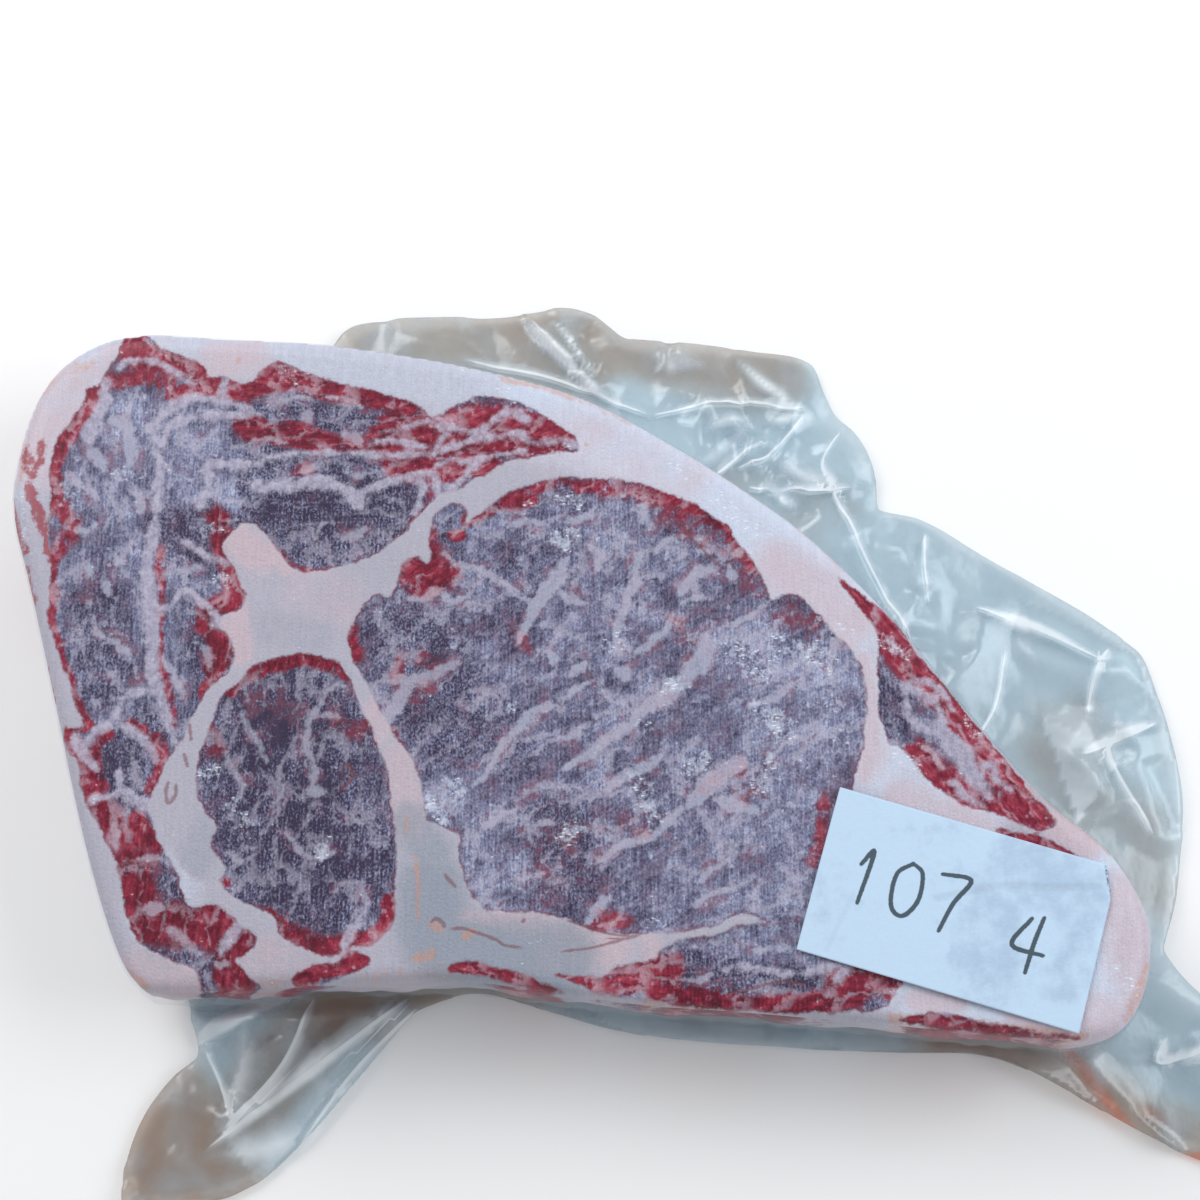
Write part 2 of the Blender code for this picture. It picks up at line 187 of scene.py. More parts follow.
# Fat between the muscles: half width, then the line
SEAMS = [
    ((1.0, 1.4), (-97, 54.5), (-106, 56.8), (-113, 57.3), (-118, 55.5), (-121, 52), (-123, 48)),
    ((1.1, 1.3), (-124, 49), (-122.5, 44), (-121, 38), (-121, 30), (-121.5, 22), (-122, 14)),
    ((1.3, 2.0), (-122, 14), (-122.5, 8), (-121.8, 0), (-121, -8)),
    ((1.9, 0.8), (-121, -8), (-120, -16), (-118, -25), (-115, -33), (-112, -41)),
    ((0.9, 1.1), (-98, 52.3), (-106, 52.3), (-114, 51.3), (-118.5, 49), (-120.5, 44)),
    ((1.2, 0.7), (-108, 38.5), (-100, 37.8), (-94, 37.8), (-91, 40.3), (-84, 41), (-76, 41.5)),
    ((0.8, 0.6), (-76, 41.5), (-66, 41.3), (-56, 40.8), (-48, 41.5), (-44, 40)),
    ((1.3, 1.8), (-94, 32), (-86, 31.8), (-80, 33.3), (-74, 32.6), (-69, 30.5), (-65.5, 27)),
    ((1.3, 0.9), (-66, 29), (-62, 31.3), (-57, 33.8), (-51, 35.2), (-45.5, 35.2), (-44, 30)),
    ((1.0, 0.6), (-49.5, 35), (-48.6, 30), (-50.5, 24)),
    ((1.4, 1.0), (-108, 38), (-107, 33), (-109, 27)),
    ((1.6, 2.2), (-137, 62), (-137, 56), (-139.5, 51), (-140.5, 46)),
    ((0.5, 0.9), (-133, 67), (-129, 68.6), (-124, 68), (-119, 65.6), (-113, 62)),
    ((1.2, 0.5), (-104, 62), (-105, 58.5), (-101, 55.5), (-95, 52.5)),
    ((1.0, 0.8), (-138, -39.5), (-134, -36), (-130, -33), (-128, -29), (-126, -25.6), (-119, -25.5)),
    ((0.9, 0.7), (-129, -33), (-124, -36.5), (-120, -40), (-117.5, -44)),
    ((1.6, 0.8), (-139, -38), (-137, -43), (-134, -46)),
    ((1.6, 1.0), (-117, -56.5), (-121, -55), (-125, -51.5), (-128, -47)),
    ((0.7, 0.6), (-134, -54), (-129, -53), (-126, -50.5)),
    ((1.0, 0.8), (-121, -3.2), (-116, -1.5), (-113.5, 2), (-110, 2), (-107, -0.6)),
    ((1.0, 1.6), (-108, 0.3), (-105, -2.5), (-103, -6), (-99.5, -7.5)),
    ((0.6, 0.9), (-113, 16), (-108, 12.3), (-102, 10.3)),
    ((0.8, 0.9), (-46, 50.5), (-43, 47), (-45.3, 43.5), (-46, 41)),
    ((0.8, 0.9), (-43.5, 50), (-38, 48.3), (-34.5, 46.3), (-38, 44.2), (-44, 42.3)),
    ((0.9, 1.1), (-35.5, 46.5), (-31, 49.5), (-28.5, 52), (-24, 53.6), (-20, 51.5)),
    ((0.8, 0.6), (-34.5, 46), (-28, 46.7), (-22, 47.3), (-18.5, 45), (-12, 44.8), (-6, 44)),
    ((0.7, 0.4), (-44.5, 38.5), (-40.5, 39.6), (-36, 38.9), (-29, 40.5), (-20, 42.2)),
    ((0.9, 0.7), (-34, 38.5), (-37, 34.5), (-41, 30.8)),
    ((0.6, 0.5), (-62, 44.5), (-57, 45.3), (-50, 43.6), (-46.5, 42.3)),
    ((0.5, 0.6), (-60, 47.3), (-54, 49), (-48, 50.8), (-44, 51.2)),
    ((1.1, 0.7), (-66.5, -93.5), (-64, -88), (-61, -83)),
    ((0.8, 1.3), (81, -23.3), (82, -29), (84, -33.5), (89, -37)),
    ((0.8, 1.2), (81.5, -24), (86, -25.7), (90, -29), (91, -34)),
    ((1.2, 3.4), (89.5, -34), (93, -38.5), (96.5, -42.5)),
    ((3.4, 1.2), (96.5, -42.5), (99, -47), (102.5, -53)),
    ((1.0, 0.8), (100, -45.3), (104, -44.9), (105.2, -48.5), (108.5, -51.5)),
    ((0.6, 0.5), (83.5, -22.4), (88, -22.8), (92, -26), (94, -29.5)),
    ((0.8, 0.7), (93, -49), (96.5, -53), (101, -55.5)),
    ((0.9, 0.7), (64, -97), (61.5, -100), (59, -104.5)),
    ((0.7, 0.5), (31, -98), (37, -97.2), (45, -99), (54, -98.5), (63, -96)),
    ((1.3, 0.8), (-92.5, -86), (-97, -91), (-98.5, -94.5)),
]

# Marbling inside the muscles: half width, then the line
VEINS = [
    (1.0, (-51, 1.5), (-46.5, 1), (-43, 2.8), (-41, 0.8), (-36, 0.5)),
    (0.9, (-42, 13), (-38, 9.5), (-35, 8.5), (-31, 8), (-28, 6), (-25, 3.3), (-21, 1.3), (-17, 0)),
    (1.9, (-22, -11), (-20, -6), (-17.5, -0.5), (-14, 4), (-11, 7.5), (-9, 12)),
    (0.8, (-12, 4), (-8, 0.5), (-3, -1)),
    (1.5, (11, 14), (10.5, 9), (9, 4), (7, 0), (6, -4), (5, -8), (4.5, -15)),
    (0.9, (22.5, 18.3), (18, 17), (14.5, 14)),
    (1.1, (12.5, 28), (12, 24), (13.5, 20.5)),
    (1.3, (31, 9), (26.5, 7.6), (23.5, 4.5), (21.5, 2)),
    (1.5, (38.5, 14), (36.5, 12)),
    (1.0, (35, 9.5), (36.3, 5)),
    (1.3, (-10, -45), (-4, -42), (0, -39.5), (5, -36), (9, -32.5), (13, -29)),
    (2.3, (6, -35), (11, -30.5), (15, -27.5), (20, -24), (25, -20), (28, -14), (28.5, -10)),
    (1.1, (10, -15), (14, -11), (17, -9), (18.5, -6), (20, -3.5)),
    (1.3, (-33, -50), (-28, -43), (-24, -37), (-20, -33), (-15, -30), (-11, -28.8)),
    (0.8, (-9, -27.5), (-5, -24), (-2, -22.5)),
    (0.7, (-36, -29), (-31, -26.7), (-27, -26)),
    (1.4, (-56, -22.5), (-51, -22), (-46, -21.3), (-42, -19.5), (-38, -17)),
    (1.7, (-50, -22), (-53, -26), (-55.5, -30), (-58.5, -35)),
    (0.6, (-20, -51.7), (-15, -50.6), (-10, -50), (-4, -51.6)),
    (1.3, (-1, -51.5), (4, -49), (8, -46.5), (13, -45), (17, -41.5)),
    (1.2, (-1, -70), (5, -66.5), (10, -64.5), (15, -62), (19, -58), (24, -54), (29, -50)),
    (2.6, (24, -54), (29, -49.5), (34, -45.5), (38, -44)),
    (1.8, (30, -53.5), (36, -55.5), (42, -57)),
    (1.1, (-4, -86), (-1, -82.8), (3, -79)),
    (0.8, (24, -82.5), (30, -79), (36, -77), (40, -74.5)),
    (0.6, (25, -75), (30, -71.5), (37, -68)),
    (0.6, (-20, -75.3), (-14, -73.7)),
    (0.8, (-11, -37.5), (-7, -36), (-3.5, -33.5)),
    (1.6, (5, -18.5), (8, -21.5)),
    (1.5, (-4, -16.5), (-7, -20.5)),
    (1.3, (-14, -14), (-11, -17.5)),
    (1.1, (60.5, -16), (63, -12.5), (65, -9.5)),
    (0.6, (32, -8.5), (37, -6), (43, -2.5)),
    (1.0, (22, -1), (26, 0.5), (29, 0)),
    (1.0, (-30, -62), (-26, -58), (-22, -56)),
    (0.8, (-20, -62), (-15, -59.5), (-12, -59.5)),
    (1.0, (40, -30), (46, -27), (52, -22)),
    (0.9, (44, -44), (50, -39), (56, -36)),
    (0.8, (-26, 20), (-20, 22), (-14, 21)),
    (1.0, (-9, 22), (-4, 23), (-1, 26)),
    (1.1, (-3, 16), (0, 13), (-1, 9)),
    (1.0, (-74.5, -26), (-77.5, -32), (-78, -39), (-76, -46), (-74.5, -51)),
    (2.4, (-76.5, -51.3), (-73, -51.8)),
    (0.6, (-78, -31.5), (-73, -31), (-69, -32)),
    (0.6, (-76, -26), (-71.5, -23.5), (-68.5, -23.5)),
    (0.7, (-95, -30), (-93.5, -35), (-91, -40), (-89, -44)),
    (0.8, (-82.5, -63.5), (-79, -68), (-74.5, -70.3), (-70, -68)),
    (0.6, (-69.5, -77.5), (-66, -75.4), (-62.5, -77), (-60.5, -81)),
    (0.6, (-66, -57), (-62, -59.5), (-58, -61)),
    (0.8, (-100, -42), (-97, -46), (-95, -50), (-94.5, -55)),
    (0.6, (-86, -46), (-84, -51), (-85, -56)),
    (0.6, (-98, -67), (-94, -70), (-91, -69)),
    (1.5, (-134.5, 5), (-132.5, 3.2)),
    (0.7, (-134, 6), (-133, 3), (-131, 1)),
    (0.9, (-139, 11), (-138, 7)),
    (0.6, (-138, 0), (-137.5, -5), (-135, -8.5), (-130.5, -11), (-126.5, -15.5), (-124, -21)),
    (1.2, (-135, -26.5), (-134.5, -29)),
    (0.8, (-132, -19), (-129.5, -21)),
    (0.9, (-132, 11), (-128, 11.3)),
    (1.5, (-135, 52), (-131, 49), (-129, 44), (-129, 38)),
    (1.3, (-141, 43), (-138, 41), (-136, 37)),
    (1.0, (-147, 35), (-143, 33), (-140, 31), (-138.5, 28)),
    (0.8, (-143, 20), (-140, 19), (-138, 21)),
    (0.8, (-129, 33), (-126.5, 29), (-126, 24)),
    (0.7, (-116, 9), (-112, 8), (-109, 9)),
    (0.6, (-118, -15), (-114.5, -20), (-112, -26)),
    (0.6, (-109.5, -10.5), (-106, -14), (-104, -19)),
    (1.4, (-83, 52.8), (-79.5, 51.2)),
    (1.3, (-71, 48), (-67, 46), (-65.5, 43.5)),
    (0.8, (-90, 56), (-84, 58), (-78, 56)),
    (0.7, (-77, 59), (-71, 57.5), (-66, 55)),
    (0.7, (-98, 44), (-92, 45.5), (-87, 44)),
    (0.6, (-79.5, 20), (-77, 17.5), (-76, 20.5), (-73, 22)),
    (1.3, (-70, 17), (-66.5, 18.7), (-64.5, 20.5)),
    (0.5, (-76, 13), (-70, 12), (-65, 14)),
    (0.6, (-83, 36), (-79, 37.5), (-75, 36.5)),
    (0.5, (-70, 37), (-66, 34.5), (-62, 36.5)),
    (1.0, (-125, -42), (-123.5, -47), (-121.5, -51)),
    (1.5, (-128, -59), (-127.3, -66)),
    (0.6, (-121, -69), (-117, -69.5), (-113, -71)),
    (1.6, (-119, -82), (-114, -82.5)),
    (1.1, (-112, -87.5), (-108, -91), (-104, -94)),
    (1.2, (-100, -96), (-96, -97)),
    (0.7, (76, -10), (79, -13), (83, -15.5)),
    (0.9, (84, -39), (88, -41.5), (91, -45)),
    (0.8, (40, -93), (46, -92), (52, -94)),
    (0.7, (20, -100), (25, -101), (30, -100)),
]

# Fresh red lean: half width, strength, then the line
REDS = [
    (3.2, 0.9, (-36, 22), (-24, 29.5), (-12, 32.5), (0, 32)),
    (5.5, 0.8, (0, 32), (12, 30.5), (22, 25.5)),
    (8.5, 0.62, (20, 24), (29, 19), (35, 15), (42, 6)),
    (3.0, 1.1, (14, 31), (24, 27), (34, 20), (42, 9)),
    (4.5, 1.0, (-24, 28), (-20, 28)),
    (3.0, 1.2, (-39.5, 18), (-38, 18)),
    (4.0, 0.9, (-46, 21), (-45, 14), (-42, 9)),
    (7.5, 1.1, (-52, 9), (-46, 5), (-43, 8)),
    (4.5, 1.0, (-67.5, -9), (-66.5, -15)),
    (4.2, 0.75, (-53.5, -15), (-54, -21)),
    (4.6, 0.7, (-48, -16), (-44, -18)),
    (4.0, 0.7, (-49, -27), (-46.5, -24)),
    (3.5, 0.6, (-56, -35), (-54, -39)),
    (3.2, 0.7, (-22, -9), (-19, -13)),
    (6.0, 0.5, (21, -6), (25, -12)),
    (4.5, 0.5, (31, -3), (34, -5)),
    (7.0, 0.6, (50, -3), (58, -7)),
    (8.0, 0.55, (33, -47), (39, -50)),
    (5.0, 0.45, (27, -50), (30, -53)),
    (13.0, 0.42, (-13, -62), (-8, -70), (-16, -77)),
    (5.0, 0.8, (0, -86), (5, -85)),
    (9.0, 0.42, (0, -62), (10, -60)),
    (7.0, 1.1, (-10, -101), (10, -100), (18, -98)),
    (6.0, 1.1, (15, -104), (34, -107), (52, -107), (66, -105)),
    (8.0, 1.05, (62, -102), (70, -101), (76, -101)),
    (9.5, 1.25, (66, 4), (76, -6), (84, -16), (93, -26)),
    (10.0, 1.25, (95, -28), (105, -42), (115, -56)),
    (7.5, 1.2, (84, -42), (95, -52), (108, -58)),
    (7.0, 1.2, (105, -63), (122, -68)),
    (7.0, 1.1, (-142, -37), (-138, -46), (-134, -56)),
    (10.0, 1.2, (-133, -58), (-125, -68), (-121, -80)),
    (9.5, 1.25, (-118, -86), (-106, -87), (-96, -88), (-95, -100)),
    (6.0, 1.1, (-122, -60), (-118, -66)),
    (6.0, 1.15, (-151, 28), (-150, 42), (-144, 54), (-141, 60)),
    (5.0, 0.9, (-147, 26), (-144, 20), (-148, 14)),
    (3.2, 1.1, (-149.5, 12), (-148.6, -3), (-146, -13), (-140, -28), (-137, -34)),
    (6.5, 1.2, (-130, 76), (-129, 70), (-120, 68), (-110, 65)),
    (5.5, 0.9, (-137, 62), (-128, 64), (-118, 63)),
    (4.5, 1.1, (-118, 59), (-108, 60.5), (-101, 58.5)),
    (8.0, 1.15, (-100, 60), (-88, 65), (-78, 62)),
    (6.5, 1.0, (-80, 61), (-66, 58.5), (-50, 54.5)),
    (6.5, 1.15, (-97, 49), (-88, 47), (-80, 46), (-76, 44)),
    (5.0, 0.95, (-72, 44), (-62, 44), (-55, 47)),
    (13.0, 1.2, (-56, 46), (-42, 47), (-28, 48), (-14, 47)),
    (6.0, 1.1, (-56, 37.5), (-42, 37), (-30, 37.5)),
    (3.0, 0.8, (-46, 33), (-46, 28), (-50, 23)),
    (3.5, 0.8, (-84, 35.5), (-80, 38)),
    (5.5, 1.15, (-104, 24), (-102.5, 15), (-99, 6)),
    (5.5, 1.25, (-98, 4), (-100, 0), (-106, -3)),
    (5.5, 1.3, (-106, -7), (-102, -12), (-103, -18)),
    (3.5, 1.0, (-101, -17), (-106, -26)),
    (2.2, 0.9, (-119.5, 15), (-119, 5), (-118.7, -8), (-117, -19), (-113, -34)),
    (4.0, 1.0, (-99, -25), (-93, -19), (-84, -17), (-76, -16.5), (-69, -20)),
    (8.0, 0.5, (-92, -26), (-85, -30)),
    (4.0, 0.8, (-104, -36), (-102, -41)),
    (5.0, 1.05, (-86, -85), (-78, -90), (-68, -93), (-59, -90)),
    (4.0, 1.1, (-57, -88), (-54.5, -80)),
    (5.0, 0.7, (-70, -34), (-63, -35)),
    (3.0, 0.9, (-100, -75), (-98, -75)),
    (3.0, 0.9, (-131, -36), (-134.5, -42), (-132, -50)),
    (4.5, 0.9, (-118, -38), (-116.5, -45), (-119, -51)),
    (3.0, 0.9, (-125, -34), (-122, -35)),
    (2.0, 0.8, (-87, 14), (-82, 9), (-74, 8.5)),
    (5.0, 1.2, (-79, -100), (-62, -96)),
    (5.0, 1.2, (-39, -98), (-10, -103)),
    (5.0, 1.2, (77, -111), (125, -116)),
    (4.0, 0.8, (60, -55), (56, -70)),
]

# Lighter frost (above 0) or darker lean (below 0): radius, strength, then the line
HAZES = [
    (13, 0.6, (-110, 33), (-98, 31)), (9, 0.35, (-115, 46), (-106, 46)),
    (12, 0.7, (-131, 50), (-129, 42)), (24, 0.1, (-137, 25), (-134, -15)),
    (17, 0.6, (40, -14), (58, -22)), (22, 0.5, (48, -36), (54, -62)),
    (10, 0.4, (-38, -50), (-30, -54)), (12, 0.45, (-30, -70), (-22, -72)),
    (12, 0.35, (0, -8), (14, -12)), (10, 0.3, (0, 20), (8, 22)),
    (14, 0.3, (20, -70), (38, -76)), (8, 0.5, (38, -90), (52, -92)),
    (7, 0.3, (-103, -44), (-99, -52)), (7, 0.3, (-90, -72), (-84, -70)),
    (10, -0.9, (-129, -42), (-126, -50)), (6, -0.8, (-122, -33), (-118, -35)),
    (9, -0.8, (-107, 24), (-104, 19)), (8, -0.9, (-106, -6), (-105, -16)),
    (10, -0.8, (-95, 33), (-92, 38)), (14, -0.6, (-84, 24), (-66, 26)),
    (8, -0.8, (-57, 26), (-54, 20)), (8, -0.95, (-70, -33), (-64, -38)),
    (14, -0.85, (-68, -56), (-62, -68)), (20, -0.7, (-92, -34), (-72, -52)),
    (10, -0.7, (-92, -86), (-76, -88)), (16, -0.5, (-12, -62), (-8, -72)),
    (8, -0.5, (-45, 8), (-44, 16)), (12, -0.45, (-52, -8), (-40, -12)),
    (9, -0.6, (20, -98), (36, -102)), (8, -0.5, (78, -24), (77, -34)),
    (14, -0.25, (-20, 12), (-26, -4)), (9, -0.6, (-118, 20), (-110, 14)),
    (9, -0.7, (-100, -55), (-94, -62)), (10, -0.5, (-118, -74), (-112, -90)),
    (30, -1.35, (-86, -34), (-78, -70)), (12, -0.7, (20, -104), (66, -105)),
    (12, -0.6, (-58, 46), (-50, 44)),
    (18, -1.2, (-88, 21), (-62, 24)), (17, -0.75, (-90, 48), (-58, 47)),
    (17, -0.95, (-124, -76), (-106, -94)), (14, -0.6, (-120, -76), (-100, -90)),
    (12, -0.5, (-134, -56), (-124, -68)), (12, -0.5, (-136, 0), (-134, -22)),
    (10, -0.45, (-40, 44), (-20, 46)), (12, -0.35, (-30, -30), (-24, -40)),
    (20, -0.6, (-52, -10), (-40, -34)),
]

# Crushed ice, and painted glare where the film is crinkled: radius, strength, then the line
ICE_AND_GLARE = [
    (3.4, 1.1, (-12.5, 18), (-8.5, 15)), (2.6, 1.1, (-8, 19), (-6, 18)),
    (4.0, 0.8, (-10, 30), (-6, 26)), (3.0, 0.7, (-21, 27), (-18, 28)),
    (5.5, 0.9, (36, -14), (44, -19)), (5.5, 0.8, (48, -12), (60, -16)),
    (5.0, 1.0, (43, -29), (50, -36)), (4.0, 0.8, (28, -43), (24, -46)),
    (5.0, 0.75, (2, -12), (6, -10)), (4.0, 0.9, (17, -23.5), (21, -22.5)),
    (4.5, 0.75, (45, -44), (42, -50)), (5.5, 0.8, (9, -49), (14, -57)),
    (4.5, 0.9, (-9, -64), (-6, -61)), (4.0, 0.8, (-39, -49), (-37, -54)),
    (4.5, 0.9, (-45, -54), (-42, -58)), (4.0, 0.8, (-97, -55), (-94, -60)),
    (2.6, 1.2, (-73.5, -68.5), (-72.5, -67)), (3.0, 0.9, (-105, -47), (-102, -46)),
    (3.5, 0.9, (-104, 7), (-102, 6)), (3.0, 0.8, (-107, 20), (-104, 20)),
    (2.0, 1.3, (-24, -29.5), (-23.6, -29.8)), (1.6, 1.2, (-40.5, -12.5), (-39.8, -12.6)),
    (2.6, 0.8, (11, -34), (13, -34.5)), (3.5, 0.9, (76, -11), (82, -15)),
    (3.2, 0.9, (79, -43), (83, -44)), (2.6, 0.8, (98, -33), (101, -36)),
    (3.5, 0.9, (-32, 60), (-28, 62)), (2.4, 0.9, (-27, 60), (-24, 57)),
    (2.6, 0.7, (-9, 44), (-13, 42)), (3.0, 0.7, (-88, 67), (-84, 62)),
    (3.5, 0.7, (60, -6), (66, -9)), (3.0, 0.8, (-159, 30), (-157, 16)),
    (2.6, 0.7, (-146, 29), (-144, 31)), (4.0, 0.6, (-132, 35), (-124, 36)),
    (3.0, 0.6, (15, -87), (12, -86)), (2.6, 0.7, (74, -104), (77, -102)),
    (4.0, 0.8, (134, -98), (137, -103)), (5.0, 0.5, (62, -28), (64, -40)),
    (3.5, 0.7, (20, 38), (30, 31)), (4.0, 0.9, (31, 30), (43, 18)), (3.0, 0.7, (-38, 66), (-30, 63)),
]

# Stains in the fat: half width, strength, then the line; below 0 the greys brighten the fat towards the
# white cap, partly painted light
PINKS = [
    (16, 0.7, (-150, 60), (-152, 40)), (10, 0.8, (-106, 68), (-98, 70)),
    (14, 0.8, (50, 8), (66, -6)), (9, 0.7, (72, -20), (70, -44)),
    (12, 0.5, (-78, 4), (-70, 0)), (8, 0.9, (-100, 18), (-92, 12)),
    (6, 0.9, (-98, -6), (-97, -14)), (10, 0.7, (-118, -98), (-104, -101)),
    (9, 0.6, (-90, -96), (-78, -96)), (14, 0.9, (138, -80), (140, -104)),
    (12, 0.9, (130, -110), (112, -110)), (8, 0.9, (-12, -94), (4, -92)),
    (8, 0.7, (-24, -83.5), (-12, -85)), (9, 0.6, (-54, -44), (-50, -60)),
    (7, 0.7, (-58, -30), (-60, -36)), (16, 0.45, (-10, 46), (20, 34)),
    (8, 0.8, (80, -54), (100, -62)), (7, 0.9, (120, -60), (128, -66)),
    (5, 0.9, (92, -106), (82, -106)), (6, 0.8, (-140, 66), (-136, 70)),
    (5, 0.8, (-154, 46), (-158, 38)), (5, 0.7, (12, -90), (14, -95)),
    (2.2, 1.6, (-99, 19), (-96.5, 13), (-95, 10)), (2.2, 1.5, (-95, 17), (-91, 11)),
    (2.4, 1.5, (-90, 14), (-85, 8.5)), (2.2, 1.5, (70.5, -16), (72.5, -28), (72, -40), (69.8, -48)),
    (2.2, 1.4, (-97.5, 2), (-96, -6)), (2.0, 1.3, (-36, -84), (-20, -87), (-4, -88)),
]
ORANGES = [
    (3.4, 1.0, (-26, 63.5), (-16, 62), (-8, 58.5)), (2.4, 0.7, (-6, 58), (8, 51)),
    (2.2, 0.7, (30, 39), (44, 29.5), (58, 18), (66, 9)), (2.6, 1.0, (38, 34), (44, 30)),
    (2.6, 0.8, (-157, 57), (-152, 64)), (3.0, 0.7, (-146, 66), (-142, 67)),
    (2.4, 0.6, (-96, 75.5), (-90, 75.5)), (1.5, 1.0, (-139.5, -36), (-142.5, -35)),
    (2.2, 0.9, (118, -53), (124, -58), (134, -67)), (1.2, 0.9, (-48.6, -69), (-47.3, -76)),
    (1.2, 0.8, (-47.3, -76), (-47.6, -85)), (1.2, 0.7, (-51, -58), (-50.5, -62)),
    (2.6, 1.0, (-47, -95), (-44, -94)), (4.2, 0.45, (-62, -101), (-50, -99), (-36, -98)),
    (1.8, 1.0, (-35, -89.5), (-33, -88.5)), (2.0, 0.9, (-44, -86.7), (-41.5, -87.8)),
    (4.0, 0.6, (-100, -103), (-80, -102)), (3.2, 0.9, (76, -110.5), (96, -112.5), (124, -115.5)),
    (2.6, 0.9, (-125, -98), (-118, -102)), (3.0, 0.8, (136, -110), (142, -98)),
    (1.5, 0.9, (-101, 68), (-100.4, 68.5)), (0.9, 1.2, (-4.2, 44.2), (-3.8, 44)),
    (1.4, 0.8, (-138.5, 30.5), (-137.5, 28.5)), (2.6, 0.6, (108, -45), (116, -53)),
    (1.2, 0.8, (-158, 44), (-159, 34)), (2.5, 0.8, (12, -105.8), (24, -107.5)),
]
# Grey fat above 0; below 0 the fat turns to the brighter cap colour, partly whiter fat and partly painted
# light falling from the top right
GREY_FAT_AND_PAINTED_LIGHT = [
    (16, 0.9, (-44, -78), (-40, -92), (-10, -95)), (10, 0.7, (-50, -60), (-44, -68)),
    (12, 0.3, (-72, 0), (-58, 10)), (10, 0.5, (-102, -62), (-106, -70)),
    (16, 0.35, (-110, -95), (-80, -97)), (7, 0.5, (84, -46), (88, -54)),
    (5, 0.5, (-160, 58), (-161, 46)), (10, 0.4, (-88, -8), (-76, -10)),
    (26, -0.55, (-118, 80), (-80, 74), (-34, 65)), (26, -1.0, (-14, 57), (0, 52), (34, 30)),
    (24, -1.0, (30, 34), (56, 10), (66, -2)), (14, -0.9, (74, -44), (72, -22)),
    (34, -1.1, (144, -82), (128, -106), (98, -108)), (20, -0.6, (-160, 40), (-140, 66)),
    (14, -0.7, (84, -50), (98, -60)), (14, -0.5, (-112, -76), (-116, -84)),
]
# Clear saw lines: radius, strength, then the line
HATCHES = [
    (16, 1.0, (-72, 22), (-56, 24)), (18, 0.9, (-84, -64), (-66, -74)), (12, 0.5, (-10, -40), (-4, -60)),
    (14, 0.5, (-20, 20), (4, 26)), (14, 0.5, (-26, -66), (-16, -76)), (12, 0.6, (18, -98), (50, -104)),
    (10, 0.6, (-96, 36), (-90, 40)), (14, 0.4, (-110, 24), (-106, 34)),
]
# Thin dark lines: half width, then the line
CREASES = [
    (0.45, (22, 21), (26, 16.5), (30, 12), (33.5, 8.8)),
    (0.5, (-41, -73), (-39.5, -75), (-37, -77.5)),
    (0.4, (-42, -88.2), (-36, -87.5), (-32, -88.6), (-27, -90.4), (-24, -92), (-15, -92.8)),
    (0.5, (-44.3, -86.8), (-43, -85), (-41, -86), (-40, -88)),
    (0.35, (-13, -93.6), (-3, -92.6), (5, -90.6), (12, -88.8)),
    (0.5, (-20.6, -85), (-19.4, -86)),
    (0.5, (-113.6, -47), (-114.6, -52), (-113.8, -55), (-112, -52.5), (-112.4, -47.5)),
    (0.5, (-110.5, -41), (-109, -46)),
    (0.5, (-109.4, -33), (-108.4, -39)),
    (0.5, (-69, -44.5), (-66.3, -45), (-65.8, -48), (-68, -50.6), (-70, -51.5)),
    (0.3, (-11, -84.5), (-4, -87), (4, -89.2), (14, -89.3)),
    (0.4, (55, -103), (48, -101), (38, -103), (33, -104.5)),
]

# Red streaks in the fat near the outside: half width, strength, then the line
OUTER_REDS = [
    (2.0, 1.0, (-153.6, 44), (-155, 36)), (2.2, 1.1, (-156, 33), (-153.5, 26), (-150.8, 18)),
    (1.7, 1.1, (-151, 18), (-149.6, 11)), (2.0, 1.1, (-162, 29), (-160, 22)),
    (1.8, 1.0, (-159.5, 20), (-157, 14)), (1.8, 0.9, (-155.6, 9), (-154, 3)),
    (1.3, 0.9, (-153.8, 2), (-153.2, -1)), (1.4, 1.0, (-150, -18), (-147.3, -27)),
    (2.0, 0.9, (-141, -35), (-139, -42)), (2.0, 0.8, (-158, 42), (-157, 37)),
]

# The loose film's main folds: height, reach either side, then the line
FOLDS = [
    (9, 5, (-24, 100), (-12, 84), (2, 70)), (7, 4, (-16, 99), (-4, 84), (6, 72)),
    (8, 6, (48, 56), (66, 34), (84, 4), (98, -14)), (8, 5, (88, 30), (92, 12), (90, -2)),
    (7, 5, (16, 78), (34, 70), (56, 72)), (9, 5, (24, 62), (40, 62), (58, 50)),
    (8, 4, (40, 58), (50, 46), (62, 44)), (6, 5, (112, 12), (110, -4), (96, -20)),
    (8, 8, (120, -6), (142, -12), (158, -10)), (6, 8, (118, -26), (140, -40), (152, -62)),
    (6, 6, (150, -20), (156, -44), (160, -66)), (7, 5, (150, -96), (162, -104), (176, -112)),
    (8, 4, (104, -119), (128, -132), (156, -148)), (6, 3, (132, -118), (146, -134), (162, -148)),
    (7, 5, (164, -118), (176, -130), (184, -134)), (9, 5, (-110, -116), (-100, -108), (-84, -104)),
    (6, 5, (-84, -106), (-96, -124), (-108, -146)), (6, 5, (-64, -106), (-80, -120), (-96, -140)),
    (5, 4, (-112, -124), (-118, -138), (-122, -154)), (7, 6, (-66, 94), (-50, 88), (-34, 92)),
    (5, 5, (-4, 90), (14, 86), (40, 84)), (6, 5, (60, 72), (72, 54), (78, 42)),
]
